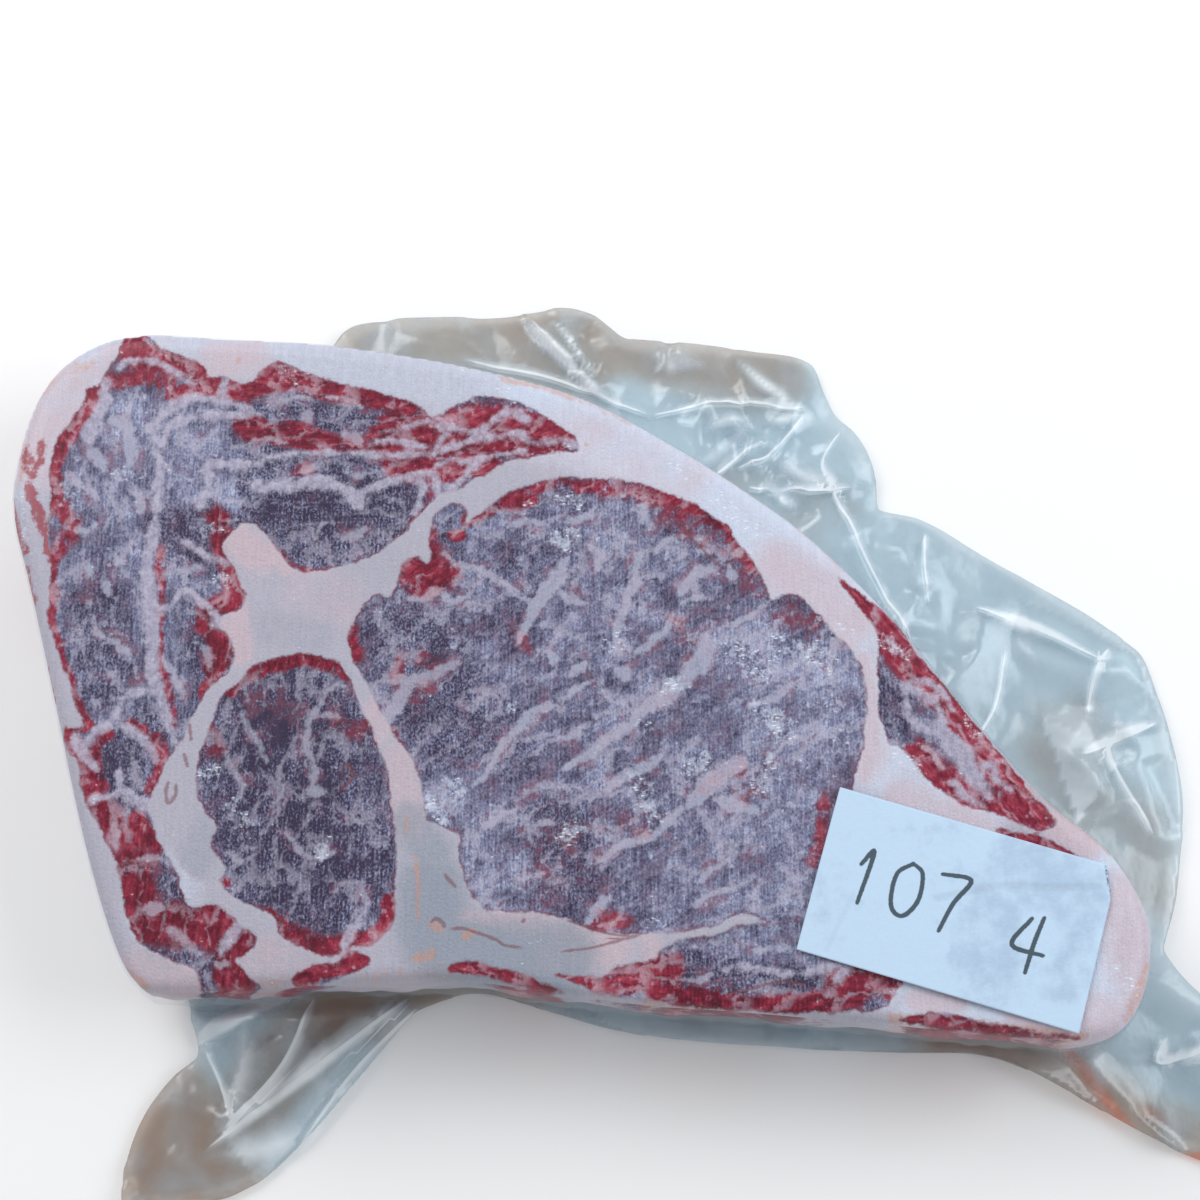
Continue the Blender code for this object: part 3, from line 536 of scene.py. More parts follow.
# Gleams in the loose film: half width, strength, then the line
FILM_LIGHTS = [
    (3.2, 1.7, (-27, 101), (-14, 87), (2, 71)), (1.8, 1.0, (-17, 100), (-8, 88), (1, 73)),
    (5.5, 0.55, (14, 86), (34, 82)), (4.2, 0.9, (40, 87), (49, 77), (62, 68)),
    (4.0, 0.8, (28, 61), (46, 66)), (3.6, 0.7, (46, 64), (64, 68)),
    (7.0, 0.6, (24, 48), (36, 56), (50, 66)), (7.5, 0.7, (50, 52), (74, 44)),
    (4.0, 1.0, (48, 46), (60, 36)), (5.0, 0.45, (92, 34), (91, 20), (94, 4)),
    (5.0, 0.9, (110, 7), (126, 2), (144, -7)), (10, 0.4, (108, 2), (132, -10), (156, -20)),
    (5.0, 0.6, (140, -22), (145, -10), (154, -4)), (5.0, 0.8, (138, -35), (162, -25)),
    (5.0, 0.5, (144, -30), (156, -46)), (20, 0.3, (118, -16), (150, -36)),
    (16, 0.3, (128, -36), (146, -70)), (3.6, 1.9, (-116, -119), (-102, -110), (-80, -100)),
    (9.0, 0.5, (-118, -100), (-84, -108)), (6.0, 0.5, (-100, -104), (-99, -122), (-104, -142)),
    (5.5, 0.6, (-46, -98), (-82, -124), (-112, -146)), (9.0, 0.5, (-46, -100), (-66, -120), (-88, -148)),
    (8.0, 0.6, (-112, -147), (-93, -145), (-76, -138)), (3.6, 1.0, (96, -117), (126, -133), (158, -151)),
    (4.5, 0.9, (154, -112), (160, -126)), (4.0, 0.7, (154, -124), (182, -114)),
    (9.0, 0.5, (154, -126), (162, -150)), (14, 0.35, (146, -112), (178, -130)),
    (20, 0.22, (-78, 92), (-46, 92)), (12, 0.25, (66, 40), (78, 14)),
]
# Thin blood in the loose film: half width, strength, then the line
FILM_BLOOD = [
    (2.4, 0.9, (131, -119), (137, -128), (143, -136), (149, -145)), (2.2, 0.7, (150, -147), (170, -147)),
    (1.8, 0.5, (151, -134), (157, -138)), (3.5, 0.35, (120, -112), (132, -114), (140, -110)),
    (1.8, 0.5, (-31, 78), (-30, 74)),
]
# Painted highlights on sharp creases in the loose film, a bright line with a soft glow on one side: half
# width, then the line
FILM_CREASE_HIGHLIGHTS = [
    (0.55, (-44, 84), (-18, 79), (1, 72), (16, 66)), (0.5, (14, 66), (34, 70), (64, 69)),
    (0.6, (34, 47), (41, 53), (50, 59)), (0.5, (43, 44), (54, 43), (76, 44)),
    (0.6, (67, 47), (74, 32), (80, 17), (92, -6)), (0.5, (96, 31), (95, 20), (96, 8)),
    (0.5, (108, 8), (126, 2), (146, -9)), (0.45, (118, -4), (114, -22), (104, -36)),
    (0.5, (138, -36), (150, -31), (162, -26)), (0.5, (148, -4), (143, -12), (141, -24)),
    (0.6, (-116, -120), (-102, -110), (-80, -100)), (0.5, (-110, -118), (-105, -128), (-102, -137)),
    (0.5, (-80, -103), (-88, -122), (-104, -140)), (0.5, (-52, -103), (-80, -124), (-110, -146)),
    (0.5, (-50, -106), (-68, -124), (-84, -146)), (0.6, (98, -118), (126, -134), (160, -153)),
    (0.5, (158, -114), (156, -122), (184, -112)), (0.5, (62, 68), (50, 54), (40, 50)),
    (0.5, (72, 62), (66, 52), (70, 44)), (0.5, (158, -60), (148, -40), (146, -30)),
]
# Film with a warm tint, and with a dark one: radius, strength, then the line
WARM_FILM = [
    (26, 1.0, (-80, 94), (-40, 98), (-4, 92)), (20, 0.8, (10, 90), (50, 82)),
    (28, 1.0, (-128, -140), (-108, -158)), (22, 0.9, (100, -122), (130, -134), (160, -148)),
    (20, 0.4, (40, 40), (62, 40)), (16, 0.9, (-76, -104), (-84, -116), (-98, -134)),
    (20, 0.5, (-50, -110), (-70, -104)), (26, 0.5, (134, -34), (156, -72)),
]
DARK_FILM = [
    (30, 1.0, (-128, -132), (-112, -160)), (13, 0.9, (-66, -104), (-78, -114), (-94, -132)),
    (20, 0.8, (-60, -104), (-30, -102)), (20, 0.5, (100, -122), (150, -142)),
    (24, 0.25, (20, 90), (50, 86)),
]
# The clinging film: its middle, the hole there as a share of its width, and its space from the meat
FILM_MIDDLE = (-12.0, -18.0)
FILM_HOLE = 0.002
CLEARANCE = 0.35
# Its rise over the tag, and half the width of that rise's slope
LIFT_OVER_TAG = 1.45
TAG_SLOPE = 3.5
# How far it stands out from the wall at the least and the most, and its upright wrinkles
FILM_SLACK = 0.3
FILM_BULGE = 2.1
WRINKLE_DEPTH = 0.25
WRINKLES_ROUND = 83
WRINKLE_LEAN = 5
# The film's facets: millimetres between their corners, large and small, and the seed of their chance
KNOT_SPACING = 24.0
FINE_SPACING = 6.5
CREASE_SEED = 41
# A fold: millimetres between its knots, and what its drawn height and reach are multiplied by
FOLD_STEP = 5
FOLD_SHARE = 0.62
FOLD_SPREAD = 1.7
# The space that a fold keeps clear of other knots, and its rows: side, share of the height
FOLD_CLEAR = 6
FOLD_ROWS = ((0, 1.0), (-1, 0.18), (1, 0.3))
# Millimetres between the corners of the facets that catch light, and their share of the shine
GLEAM_SPACING = 1.2 * KNOT_SPACING
FACET_SHINE = 0.4
# How many cells one cell under the slice is split into, each way, where the film is loose
FLAP_SPLIT = 4
# Heights in millimetres of the upper layer's facets and of the lower one's, large and small
UPPER_PEAKS = (4.0, 0.25)
LOWER_PEAKS = (2.5, 0.4)
# How high the upper layer lies at the least, how far it climbs the wall, and over what width
LEAST_RISE = 0.8
WALL_CLIMB = 4.5
WALL_CLIMB_REACH = 14

# The tag: its middle, its turn in degrees, its size and its cut corner
TAG_CENTRE = (93.0, -82.5)
TAG_TURN = -16.5
TAG_LENGTH = 75.0
TAG_WIDTH = 44.0
TAG_CUT_LENGTH = 3.5
TAG_CUT_WIDTH = 8.5
# The pen strokes of its plain numbers, from its middle: half width, then the line
PEN_STROKES = [
    (0.66, (-27, 4), (-24.5, 8), (-25.5, -6)),
    (0.66, (-14, 8), (-17.5, 4), (-17, -4), (-13.5, -6), (-10.5, -1), (-11, 6), (-14, 8)),
    (0.66, (-6, 7.5), (1.5, 8), (-1.5, 1), (-3.5, -7)),
    (0.66, (19, 3), (15.5, -5), (24, -5.5)),
    (0.66, (22, 4), (21, -3), (20.5, -11)),
]
# Damp patches and folds of the tag: radius, strength, then the line
TAG_DAMP = [
    (15, 1.0, (14, 16), (30, 12)), (15, 0.9, (8, 0), (12, -14)), (9, 0.7, (30, -12), (32, 0)),
    (10, 0.4, (-32, -2), (-34, -14)), (14, 0.35, (-12, 14), (0, 12)),
]
TAG_FOLDS = [
    (1.6, 0.7, (-6, 1), (10, 9), (22, 12), (34, 16)), (1.2, 0.4, (-30, -20), (-27, -4)),
]
# Its mesh cell, and how deep its folds are
TAG_CELL = 0.45
FOLD_DEPTH = 0.12


def length(name, description, default):
    """A setting in metres."""
    return bpy.props.FloatProperty(
        name=name, description=description, default=default, unit="LENGTH")


def colour(name, description, default):
    """A setting that is a colour."""
    return bpy.props.FloatVectorProperty(
        name=name, description=description, default=default, subtype="COLOR")


def number(name, description, default):
    """A plain setting."""
    return bpy.props.FloatProperty(name=name, description=description, default=default)


class BeefSizes(bpy.types.PropertyGroup):
    """Sizes of the slice and the film."""

    film: length("Film", "Thickness of the loose film", 0.0007)
    gap: length("Gap", "Space between touching pieces", 0.0003)
    rim: length("Rim radius", "Rounding between face and wall", 0.005)
    foot: length("Foot radius", "Rounding between wall and underside", 0.007)
    lean_drop: length("Lean drop", "How far the lean lies below the fat", 0.0007)
    face_cell: length("Face cell", "Mesh cell on the sawn face", 0.00078)
    flap_cell: length("Flap cell", "Mesh cell on the loose film", 0.0013)
    tag_curl: length("Tag curl", "Height of the tag's gentle wave", 0.00035)


class BeefColours(bpy.types.PropertyGroup):
    """Colours of the meat, film, paper and floor."""

    fat: colour("Fat", "Fat between the muscles", (0.48, 0.46, 0.545))
    # The cap colour also carries painted light where the fat is lit brighter on its top and right
    lit_fat_cap: colour("Fat cap", "Thick white fat along the outside", (0.64, 0.69, 0.82))
    fat_pink: colour("Pink fat", "Fat tinged with blood", (0.64, 0.49, 0.54))
    fat_grey: colour("Grey fat", "Thin or shaded fat", (0.28, 0.32, 0.39))
    rind: colour("Rind", "Dried outer edge of the fat", (0.62, 0.29, 0.17))
    vein: colour("Vein", "Marbling in the lean", (0.48, 0.445, 0.56))
    ice: colour("Ice", "Flakes of ice", (0.66, 0.72, 0.86))
    paper: colour("Paper", "The tag's paper", (0.56, 0.73, 0.91))
    film: colour("Film", "What one layer of film lets through", (0.84, 0.895, 0.92))
    film_warm: colour("Warm film", "Film where it lets less blue through", (0.80, 0.77, 0.74))
    floor: colour("Floor", "Pale floor", (0.96, 0.96, 0.96))


# Lights: place from the middle of the face in metres, side of the softbox, and colour
KEY_LIGHT = ((-0.7, 0.75, 0.9), 0.9, (1.0, 0.99, 0.98))
FILL_LIGHT = ((0.95, 0.15, 0.8), 0.8, (0.93, 0.97, 1.0))
SKY_COLOUR = (0.95, 0.97, 1.0, 1.0)
# The floor's side and how far it lies under the film, in metres
FLOOR_SIDE = 6
FLOOR_DROP = 0.0003


class BeefStage(bpy.types.PropertyGroup):
    """Camera and light."""

    elevation: bpy.props.FloatProperty(
        name="Elevation", description="Camera's height above the horizon", default=math.radians(77),
        subtype="ANGLE")
    distance: length("Distance", "Camera to the face's datum", 0.52)
    lens: number("Lens", "Focal length in millimetres", 57.8)
    key_power: number("Key light", "Power of the main softbox in watts", 10.8)
    fill_power: number("Fill light", "Power of the second softbox in watts", 7.0)
    sky: number("Sky", "Strength of the even light", 0.47)


# Geometry of lines and outlines

# How far from an outline and from a drawn line distances are worked out, in millimetres
OUTLINE_REACH = 12.0
LINE_REACH = 6.0


def smooth_path(corners, closed=False, samples=6):
    """Points on a Catmull-Rom curve through the corners."""
    knots = np.array(corners, dtype=float)
    if len(knots) < 3 and not closed:
        return knots
    if closed:
        knots = np.concatenate([knots[-1:], knots, knots[:2]])
    else:
        knots = np.concatenate([2 * knots[:1] - knots[1:2], knots, 2 * knots[-1:] - knots[-2:-1]])
    t = np.linspace(0, 1, samples, endpoint=False)[:, None]
    curve = [
        b
        + 0.5 * t * (c - a)
        + t**2 * (a - 2.5 * b + 2 * c - 0.5 * d)
        + t**3 * (1.5 * (b - c) + 0.5 * (d - a))
        for a, b, c, d in zip(knots, knots[1:], knots[2:], knots[3:])
    ]
    return np.concatenate(curve if closed else [*curve, knots[-2:-1]])


def spaced(curve, step, least=1, endpoint=True):
    """Evenly spaced points along a finely drawn curve."""
    travelled = np.concatenate([[0], np.cumsum(np.linalg.norm(np.diff(curve, axis=0), axis=1))])
    count = max(least, round(travelled[-1] / step))
    stops = np.linspace(0, travelled[-1], count, endpoint=endpoint)
    return np.stack([np.interp(stops, travelled, curve[:, axis]) for axis in (0, 1)], axis=1)


def even_loop(corners, step):
    """Evenly spaced points on the closed curve through the corners."""
    curve = smooth_path(corners, closed=True, samples=24)
    return spaced(np.concatenate([curve, curve[:1]]), step, endpoint=False)


def inward_normals(loop):
    """Unit vectors pointing into a loop that runs clockwise."""
    tangent = np.roll(loop, -1, axis=0) - np.roll(loop, 1, axis=0)
    normal = np.stack([tangent[:, 1], -tangent[:, 0]], axis=1)
    return normal / np.linalg.norm(normal, axis=1, keepdims=True)


def nearest_on(points, start, end):
    """Distance from each point to the nearest of some segments, with its place there."""
    best = np.full(len(points), np.inf)
    share_there = np.zeros(len(points))
    segment_there = np.zeros(len(points), dtype=int)
    for i, (a, b) in enumerate(zip(start, end)):
        along = b - a
        share = np.clip((points - a) @ along / max(along @ along, 1e-12), 0, 1)
        distance = np.hypot(*(points - a - share[:, None] * along).T)
        closer = distance < best
        best[closer] = distance[closer]
        share_there[closer] = share[closer]
        segment_there[closer] = i
    return best, segment_there, share_there


def depth_inside(points, loop, reach=OUTLINE_REACH):
    """Distance from each point to a closed loop, positive inside, exact up to the reach."""
    low, high = loop.min(axis=0) - reach, loop.max(axis=0) + reach
    near = np.all((points > low) & (points < high), axis=1)
    depth = np.full(len(points), -reach)
    close = points[near]
    following = np.roll(loop, -1, axis=0)
    distance, _, _ = nearest_on(close, loop, following)
    crossings = np.zeros(len(close), dtype=int)
    for a, b in zip(loop, following):
        if a[1] == b[1]:
            continue
        straddles = (a[1] > close[:, 1]) != (b[1] > close[:, 1])
        edge_x = a[0] + (b[0] - a[0]) * (close[:, 1] - a[1]) / (b[1] - a[1])
        crossings += straddles & (close[:, 0] < edge_x)
    depth[near] = np.clip(np.where(crossings % 2 == 1, distance, -distance), -reach, None)
    return depth


def stroke_reach(points, widths, line, taper, reach=LINE_REACH):
    """How far each point lies inside a drawn stroke, negative outside it."""
    path = smooth_path(line)
    widths = widths if isinstance(widths, tuple) else (widths, widths)
    near = np.all((points > path.min(axis=0) - reach - max(widths)), axis=1)
    near &= np.all((points < path.max(axis=0) + reach + max(widths)), axis=1)
    inside = np.full(len(points), -reach)
    distance, segment, share = nearest_on(points[near], path[:-1], path[1:])
    along = (segment + share) / (len(path) - 1)
    width = widths[0] + (widths[1] - widths[0]) * along
    width = width * (1 - taper * np.abs(2 * along - 1) ** 2.5)
    inside[near] = np.clip(width - distance, -reach, None)
    return inside


def drawn_depth(points, strokes, taper):
    """The greatest reach of any of the strokes at each point."""
    depth = np.full(len(points), -LINE_REACH)
    for widths, *line in strokes:
        depth = np.maximum(depth, stroke_reach(points, widths, line, taper))
    return depth


def painted(points, strokes):
    """Soft brush strokes laid over each other: the strongest at each point."""
    paint = np.zeros(len(points))
    for radius, strength, *line in strokes:
        depth = stroke_reach(points, radius, line, 0, reach=0.0)
        share = np.clip(1.35 * depth / radius, 0, 1)
        mark = strength * share**2 * (3 - 2 * share)
        paint = np.where(np.abs(mark) > np.abs(paint), mark, paint)
    return paint


def ramp(value, start, run):
    """0 up to the start, easing to 1 at the end of the run."""
    share = np.clip((value - start) / run, 0, 1)
    return share**2 * (3 - 2 * share)


def turned(points, degrees):
    """Points turned about the origin."""
    turn = math.radians(degrees)
    x, y = points.T
    return np.column_stack([
        x * math.cos(turn) - y * math.sin(turn), x * math.sin(turn) + y * math.cos(turn)])


def rounding(depth, radius):
    """How far a rounded edge has dropped at a depth in from the outline."""
    short = np.clip(radius - depth, 0, radius)
    return radius - np.sqrt(radius**2 - short**2)


# Places in the frame

SLAB_LOOP = even_loop(SLAB, 2.0)
BAG_LOW = even_loop(BAG, 10.0).min(axis=0)
BAG_CORNER = np.array(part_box(BAG_NODE)[0])[:2] / MM
DATUM = BAG_CORNER - BAG_LOW
FACE_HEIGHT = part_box(STEAK_NODE)[1].z / MM
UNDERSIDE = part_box(STEAK_NODE)[0].z / MM
FLAP_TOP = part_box(BAG_NODE)[1].z / MM


def placed(points, heights):
    """Points drawn in millimetres, with one height or each its own, as places in the frame."""
    return np.column_stack([points + DATUM, np.broadcast_to(heights, len(points))]) * MM


def sizes():
    """The sizes as a plain record in millimetres."""
    settings = bpy.context.scene.beef_sizes
    names = ("film", "gap", "rim", "foot", "lean_drop", "face_cell", "flap_cell", "tag_curl")
    return {name: getattr(settings, name) / MM for name in names}


# Meshes


@contextmanager
def editing():
    """Edit mode on the active piece, left again at the end."""
    bpy.ops.object.mode_set(mode="EDIT")
    yield
    bpy.ops.object.mode_set(mode="OBJECT")


def add_grid(name, low, high, cell):
    """A flat grid primitive over a box drawn in millimetres."""
    bpy.ops.object.select_all(action="DESELECT")
    width, depth = high[0] - low[0], high[1] - low[1]
    bpy.ops.mesh.primitive_grid_add(
        x_subdivisions=max(1, round(width / cell)), y_subdivisions=max(1, round(depth / cell)), size=1
    )
    grid = bpy.context.object
    grid.name = grid.data.name = name
    with editing():
        bpy.ops.transform.resize(value=(width, depth, 1), center_override=(0, 0, 0))
        bpy.ops.transform.translate(value=((low[0] + high[0]) / 2, (low[1] + high[1]) / 2, 0))
    return grid


def triples(items, name):
    """Three numbers of each part of a mesh, as rows."""
    flat = np.empty(len(items) * 3)
    items.foreach_get(name, flat)
    return flat.reshape(-1, 3)


def points_of(piece):
    """The piece's vertices as an array."""
    return triples(piece.data.vertices, "co")


def move_points(piece, points):
    """Puts the piece's vertices at these places."""
    piece.data.vertices.foreach_set("co", np.asarray(points, dtype=np.float32).ravel())
    piece.data.update()


def face_centres(piece):
    """The middle of each face."""
    return triples(piece.data.polygons, "center")


def edge_ends(piece):
    """The two vertices of each edge."""
    ends = np.empty(len(piece.data.edges) * 2, dtype=int)
    piece.data.edges.foreach_get("vertices", ends)
    return ends.reshape(-1, 2)


def select_faces(piece, chosen):
    """Selects exactly the chosen faces, ready for edit mode."""
    mesh = piece.data
    mesh.vertices.foreach_set("select", np.zeros(len(mesh.vertices), dtype=bool))
    mesh.edges.foreach_set("select", np.zeros(len(mesh.edges), dtype=bool))
    mesh.polygons.foreach_set("select", np.asarray(chosen, dtype=bool))
    bpy.context.view_layer.objects.active = piece
    piece.select_set(True)


def delete_faces(piece, chosen):
    """Deletes the chosen faces in edit mode."""
    bpy.context.tool_settings.mesh_select_mode = (False, False, True)
    select_faces(piece, chosen)
    with editing():
        bpy.ops.mesh.delete(type="FACE")


def edge_points(piece):
    """True for each vertex on an open edge."""
    mesh = piece.data
    used = np.empty(len(mesh.loops), dtype=int)
    mesh.loops.foreach_get("edge_index", used)
    single = np.bincount(used, minlength=len(mesh.edges)) == 1
    rim = np.zeros(len(mesh.vertices), dtype=bool)
    rim[edge_ends(piece)[single].ravel()] = True
    return rim


def trim_to(piece, loop):
    """Cuts a flat grid to a loop: outer faces go, and the open edge moves onto the loop."""
    delete_faces(piece, depth_inside(face_centres(piece)[:, :2], loop, reach=3.0) <= 0)
    points = points_of(piece)
    rim = edge_points(piece)
    following = np.roll(loop, -1, axis=0)
    _, segment, share = nearest_on(points[rim, :2], loop, following)
    points[rim, :2] = loop[segment] + share[:, None] * (following - loop)[segment]
    move_points(piece, points)


def roll_grid(name, around, rows):
    """A grid primitive rolled into a tube through rows of points, with its seam merged."""
    count = len(around)
    grid = add_grid(name, (0, 0), (count, len(rows) - 1), 1)
    places = np.round(points_of(grid)).astype(int)
    stack = np.array(rows)
    move_points(grid, stack[len(rows) - 1 - places[:, 1], places[:, 0] % count])
    with editing():
        bpy.ops.mesh.select_all(action="SELECT")
        bpy.ops.mesh.remove_doubles(threshold=1e-6)
        bpy.ops.mesh.normals_make_consistent(inside=False)
    return grid


def give_thickness(piece, thickness):
    """Thickens a sheet downwards from the surface that it has."""
    thicken = piece.modifiers.new("Thickness", "SOLIDIFY")
    thicken.thickness = thickness
    thicken.offset = -1
    bpy.ops.object.modifier_apply(modifier=thicken.name)


def store(piece, name, values):
    """Keeps a value, or three, for each vertex under a name that the material reads."""
    values = np.asarray(values, dtype=np.float32)
    if values.ndim == 1:
        attribute = piece.data.attributes.new(name, "FLOAT", "POINT")
        attribute.data.foreach_set("value", values)
    else:
        attribute = piece.data.attributes.new(name, "FLOAT_VECTOR", "POINT")
        attribute.data.foreach_set("vector", values.ravel())


def finish_piece(piece, material, slot, *nodes):
    """Shades the piece smooth, gives it its material and ties it to the frame."""
    bpy.ops.object.select_all(action="DESELECT")
    piece.select_set(True)
    bpy.context.view_layer.objects.active = piece
    bpy.ops.object.shade_smooth()
    piece.data.materials.clear()
    piece.data.materials.append(material)
    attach(piece, BODY)
    if nodes:
        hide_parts(*nodes)


# Fields of the meat


def line_side(points, strokes, reach):
    """Place across the nearest drawn line in half widths, how near it is, and 0."""
    nearest, side = np.full(len(points), reach), np.full(len(points), LINE_REACH)
    nearness = np.zeros(len(points))
    for width, *line in strokes:
        path = smooth_path(line)
        near = np.all((points > path.min(axis=0) - reach) & (points < path.max(axis=0) + reach), axis=1)
        distance, segment, share = nearest_on(points[near], path[:-1], path[1:])
        run = path[segment + 1] - path[segment]
        offset = points[near] - path[segment]
        turn = np.sign(run[:, 0] * offset[:, 1] - run[:, 1] * offset[:, 0])
        along = (segment + share) / (len(path) - 1)
        fade = 1 - np.abs(2 * along - 1) ** 4
        kept = distance < nearest[near]
        chosen = np.flatnonzero(near)[kept]
        nearest[chosen] = distance[kept]
        side[chosen] = (turn * distance / width)[kept]
        nearness[chosen] = (fade * (1 - distance / reach))[kept]
    return np.column_stack([side, nearness, 0 * side])


def lean_depth(points):
    """Depth inside the lean."""
    depth = np.full(len(points), -OUTLINE_REACH)
    for corners, _ in LEAN:
        depth = np.maximum(depth, depth_inside(points, smooth_path(corners, closed=True)))
    return depth


def grain_places(points):
    """Each point's place along and across the grain of its own muscle."""
    angle = np.full(len(points), PLAIN_GRAIN)
    for corners, direction in LEAN:
        angle[depth_inside(points, smooth_path(corners, closed=True)) > -GRAIN_REACH] = direction
    x, y = points.T
    angle[(x > TOP_CORNER[0]) & (y > TOP_CORNER[1]) & (x < TOP_RIGHT_CORNER[0])] = TOP_ANGLE
    angle[(x >= TOP_RIGHT_CORNER[0]) & (y > TOP_RIGHT_CORNER[1]) & (x < 0)] = TOP_RIGHT_ANGLE
    turn = np.radians(angle)
    along, across = x * np.cos(turn) + y * np.sin(turn), -x * np.sin(turn) + y * np.cos(turn)
    return np.column_stack([along, across, angle])


def meat_height(points, depth, lean, size):
    """Height of the sawn face: lean a little lower than the fat, rounded off at the rim."""
    across, away = points.T / np.array(FACE_WAVES)[:, None] * math.tau
    wave = 0.5 + 0.25 * np.sin(across) + 0.25 * np.cos(away)
    drop = WAVE_DEPTH * wave * ramp(depth, 0, size["rim"])
    drop = drop + size["lean_drop"] * ramp(lean, -0.3, 2.5)
    return FACE_HEIGHT - drop - rounding(depth, size["rim"])


def chance(points, grain, seed):
    """Smooth chance values between -1 and 1, with marks about this many millimetres across."""
    table = np.random.default_rng(seed).uniform(-1, 1, (256, 256))
    place = points / grain + 1000
    cell = np.floor(place).astype(int)
    x, y = (place - cell).T
    x, y = x * x * (3 - 2 * x), y * y * (3 - 2 * y)
    left, low = cell.T % 256
    right, high = (left + 1) % 256, (low + 1) % 256
    near = table[left, low] * (1 - x) + table[right, low] * x
    far = table[left, high] * (1 - x) + table[right, high] * x
    return near * (1 - y) + far * y


def ragged(points):
    """The points moved a little by chance, so that what is drawn at them looks grown."""
    shift = [
        sum(far * chance(points, grain, seed + i) for i, (far, grain) in enumerate(RAGGED_EDGES))
        for seed in (3, 7)
    ]
    return points + np.stack(shift, axis=1)


def store_meat_fields(piece, points, pattern):
    """Stores what the meat's material reads. Returns the depth inside the lean."""
    moved = ragged(points)
    lean = lean_depth((points + moved) / 2)
    seam = drawn_depth((points + moved) / 2, SEAMS, 0.1)
    store(piece, "lean", lean)
    store(piece, "vein", drawn_depth(moved, VEINS, 0.6))
    store(piece, "grain", grain_places(points))
    store(piece, "pattern", pattern)
    store(piece, "marks", np.column_stack([
        painted(moved, REDS), painted(points, HAZES), painted(points, ICE_AND_GLARE)]))
    store(piece, "stains_and_light", np.column_stack([
        painted(points, PINKS), painted(points, ORANGES), painted(points, GREY_FAT_AND_PAINTED_LIGHT)]))
    store(piece, "lines", np.column_stack([seam, painted(moved, OUTER_REDS), painted(points, HATCHES)]))
    store(piece, "creases", line_side(points, CREASES, 2.0))
    return np.minimum(lean, -seam)


# Materials

# Colours of frosted and of fresh lean, from dark to light
FROST_TONES = [
    (0.0, (0.040, 0.028, 0.066)), (0.27, (0.106, 0.100, 0.174)), (0.5, (0.186, 0.186, 0.296)),
    (0.74, (0.300, 0.318, 0.462)), (1.0, (0.500, 0.530, 0.710)),
]
RED_TONES = [
    (0.0, (0.105, 0.006, 0.018)), (0.27, (0.205, 0.011, 0.034)), (0.5, (0.315, 0.026, 0.056)),
    (0.74, (0.410, 0.068, 0.108)), (1.0, (0.560, 0.240, 0.290)),
]
# Millimetres between the saw's lines
SAW_PITCH = 1.12
# Other colours of the meat
WARM_LEAN = (0.215, 0.115, 0.175)
WINE_LEAN = (0.165, 0.055, 0.095)
LEAN_RIM = (0.17, 0.022, 0.042)
LEAN_BESIDE_VEIN = (0.25, 0.085, 0.13)
BLUE_VEIN = (0.42, 0.43, 0.56)
PINK_VEIN = (0.60, 0.37, 0.42)
DARK_VEIN = (0.29, 0.26, 0.34)
DARK_SEAM = (0.42, 0.39, 0.51)
LIGHT_SEAM = (0.53, 0.49, 0.61)
RED_IN_FAT = (0.34, 0.045, 0.065)
CREASE_COLOUR = (0.20, 0.06, 0.065)
GLINT = (0.93, 0.96, 1.0)
# Colours of the film: shine, light let through, milky haze, and the painted sheen that the haze turns to
# at gleams and creases
FILM_SHINE = (0.93, 0.97, 1.0)
CLEAR_THROUGH = (0.985, 0.988, 0.99)
CLEAR_HAZE = (0.72, 0.78, 0.84)
DARK_THROUGH = (0.75, 0.68, 0.63)
BLOOD_THROUGH = (0.90, 0.60, 0.50)
DIM_HAZE = (0.52, 0.64, 0.72)
PAINTED_SHEEN = (0.90, 0.96, 1.0)
# Colours of the paper
DAMP_PAPER = (0.33, 0.44, 0.60)
LIGHT_FIBRE = (0.68, 0.83, 0.97)
FOLD_SHADE = (0.34, 0.42, 0.52)
INK = (0.012, 0.035, 0.05)


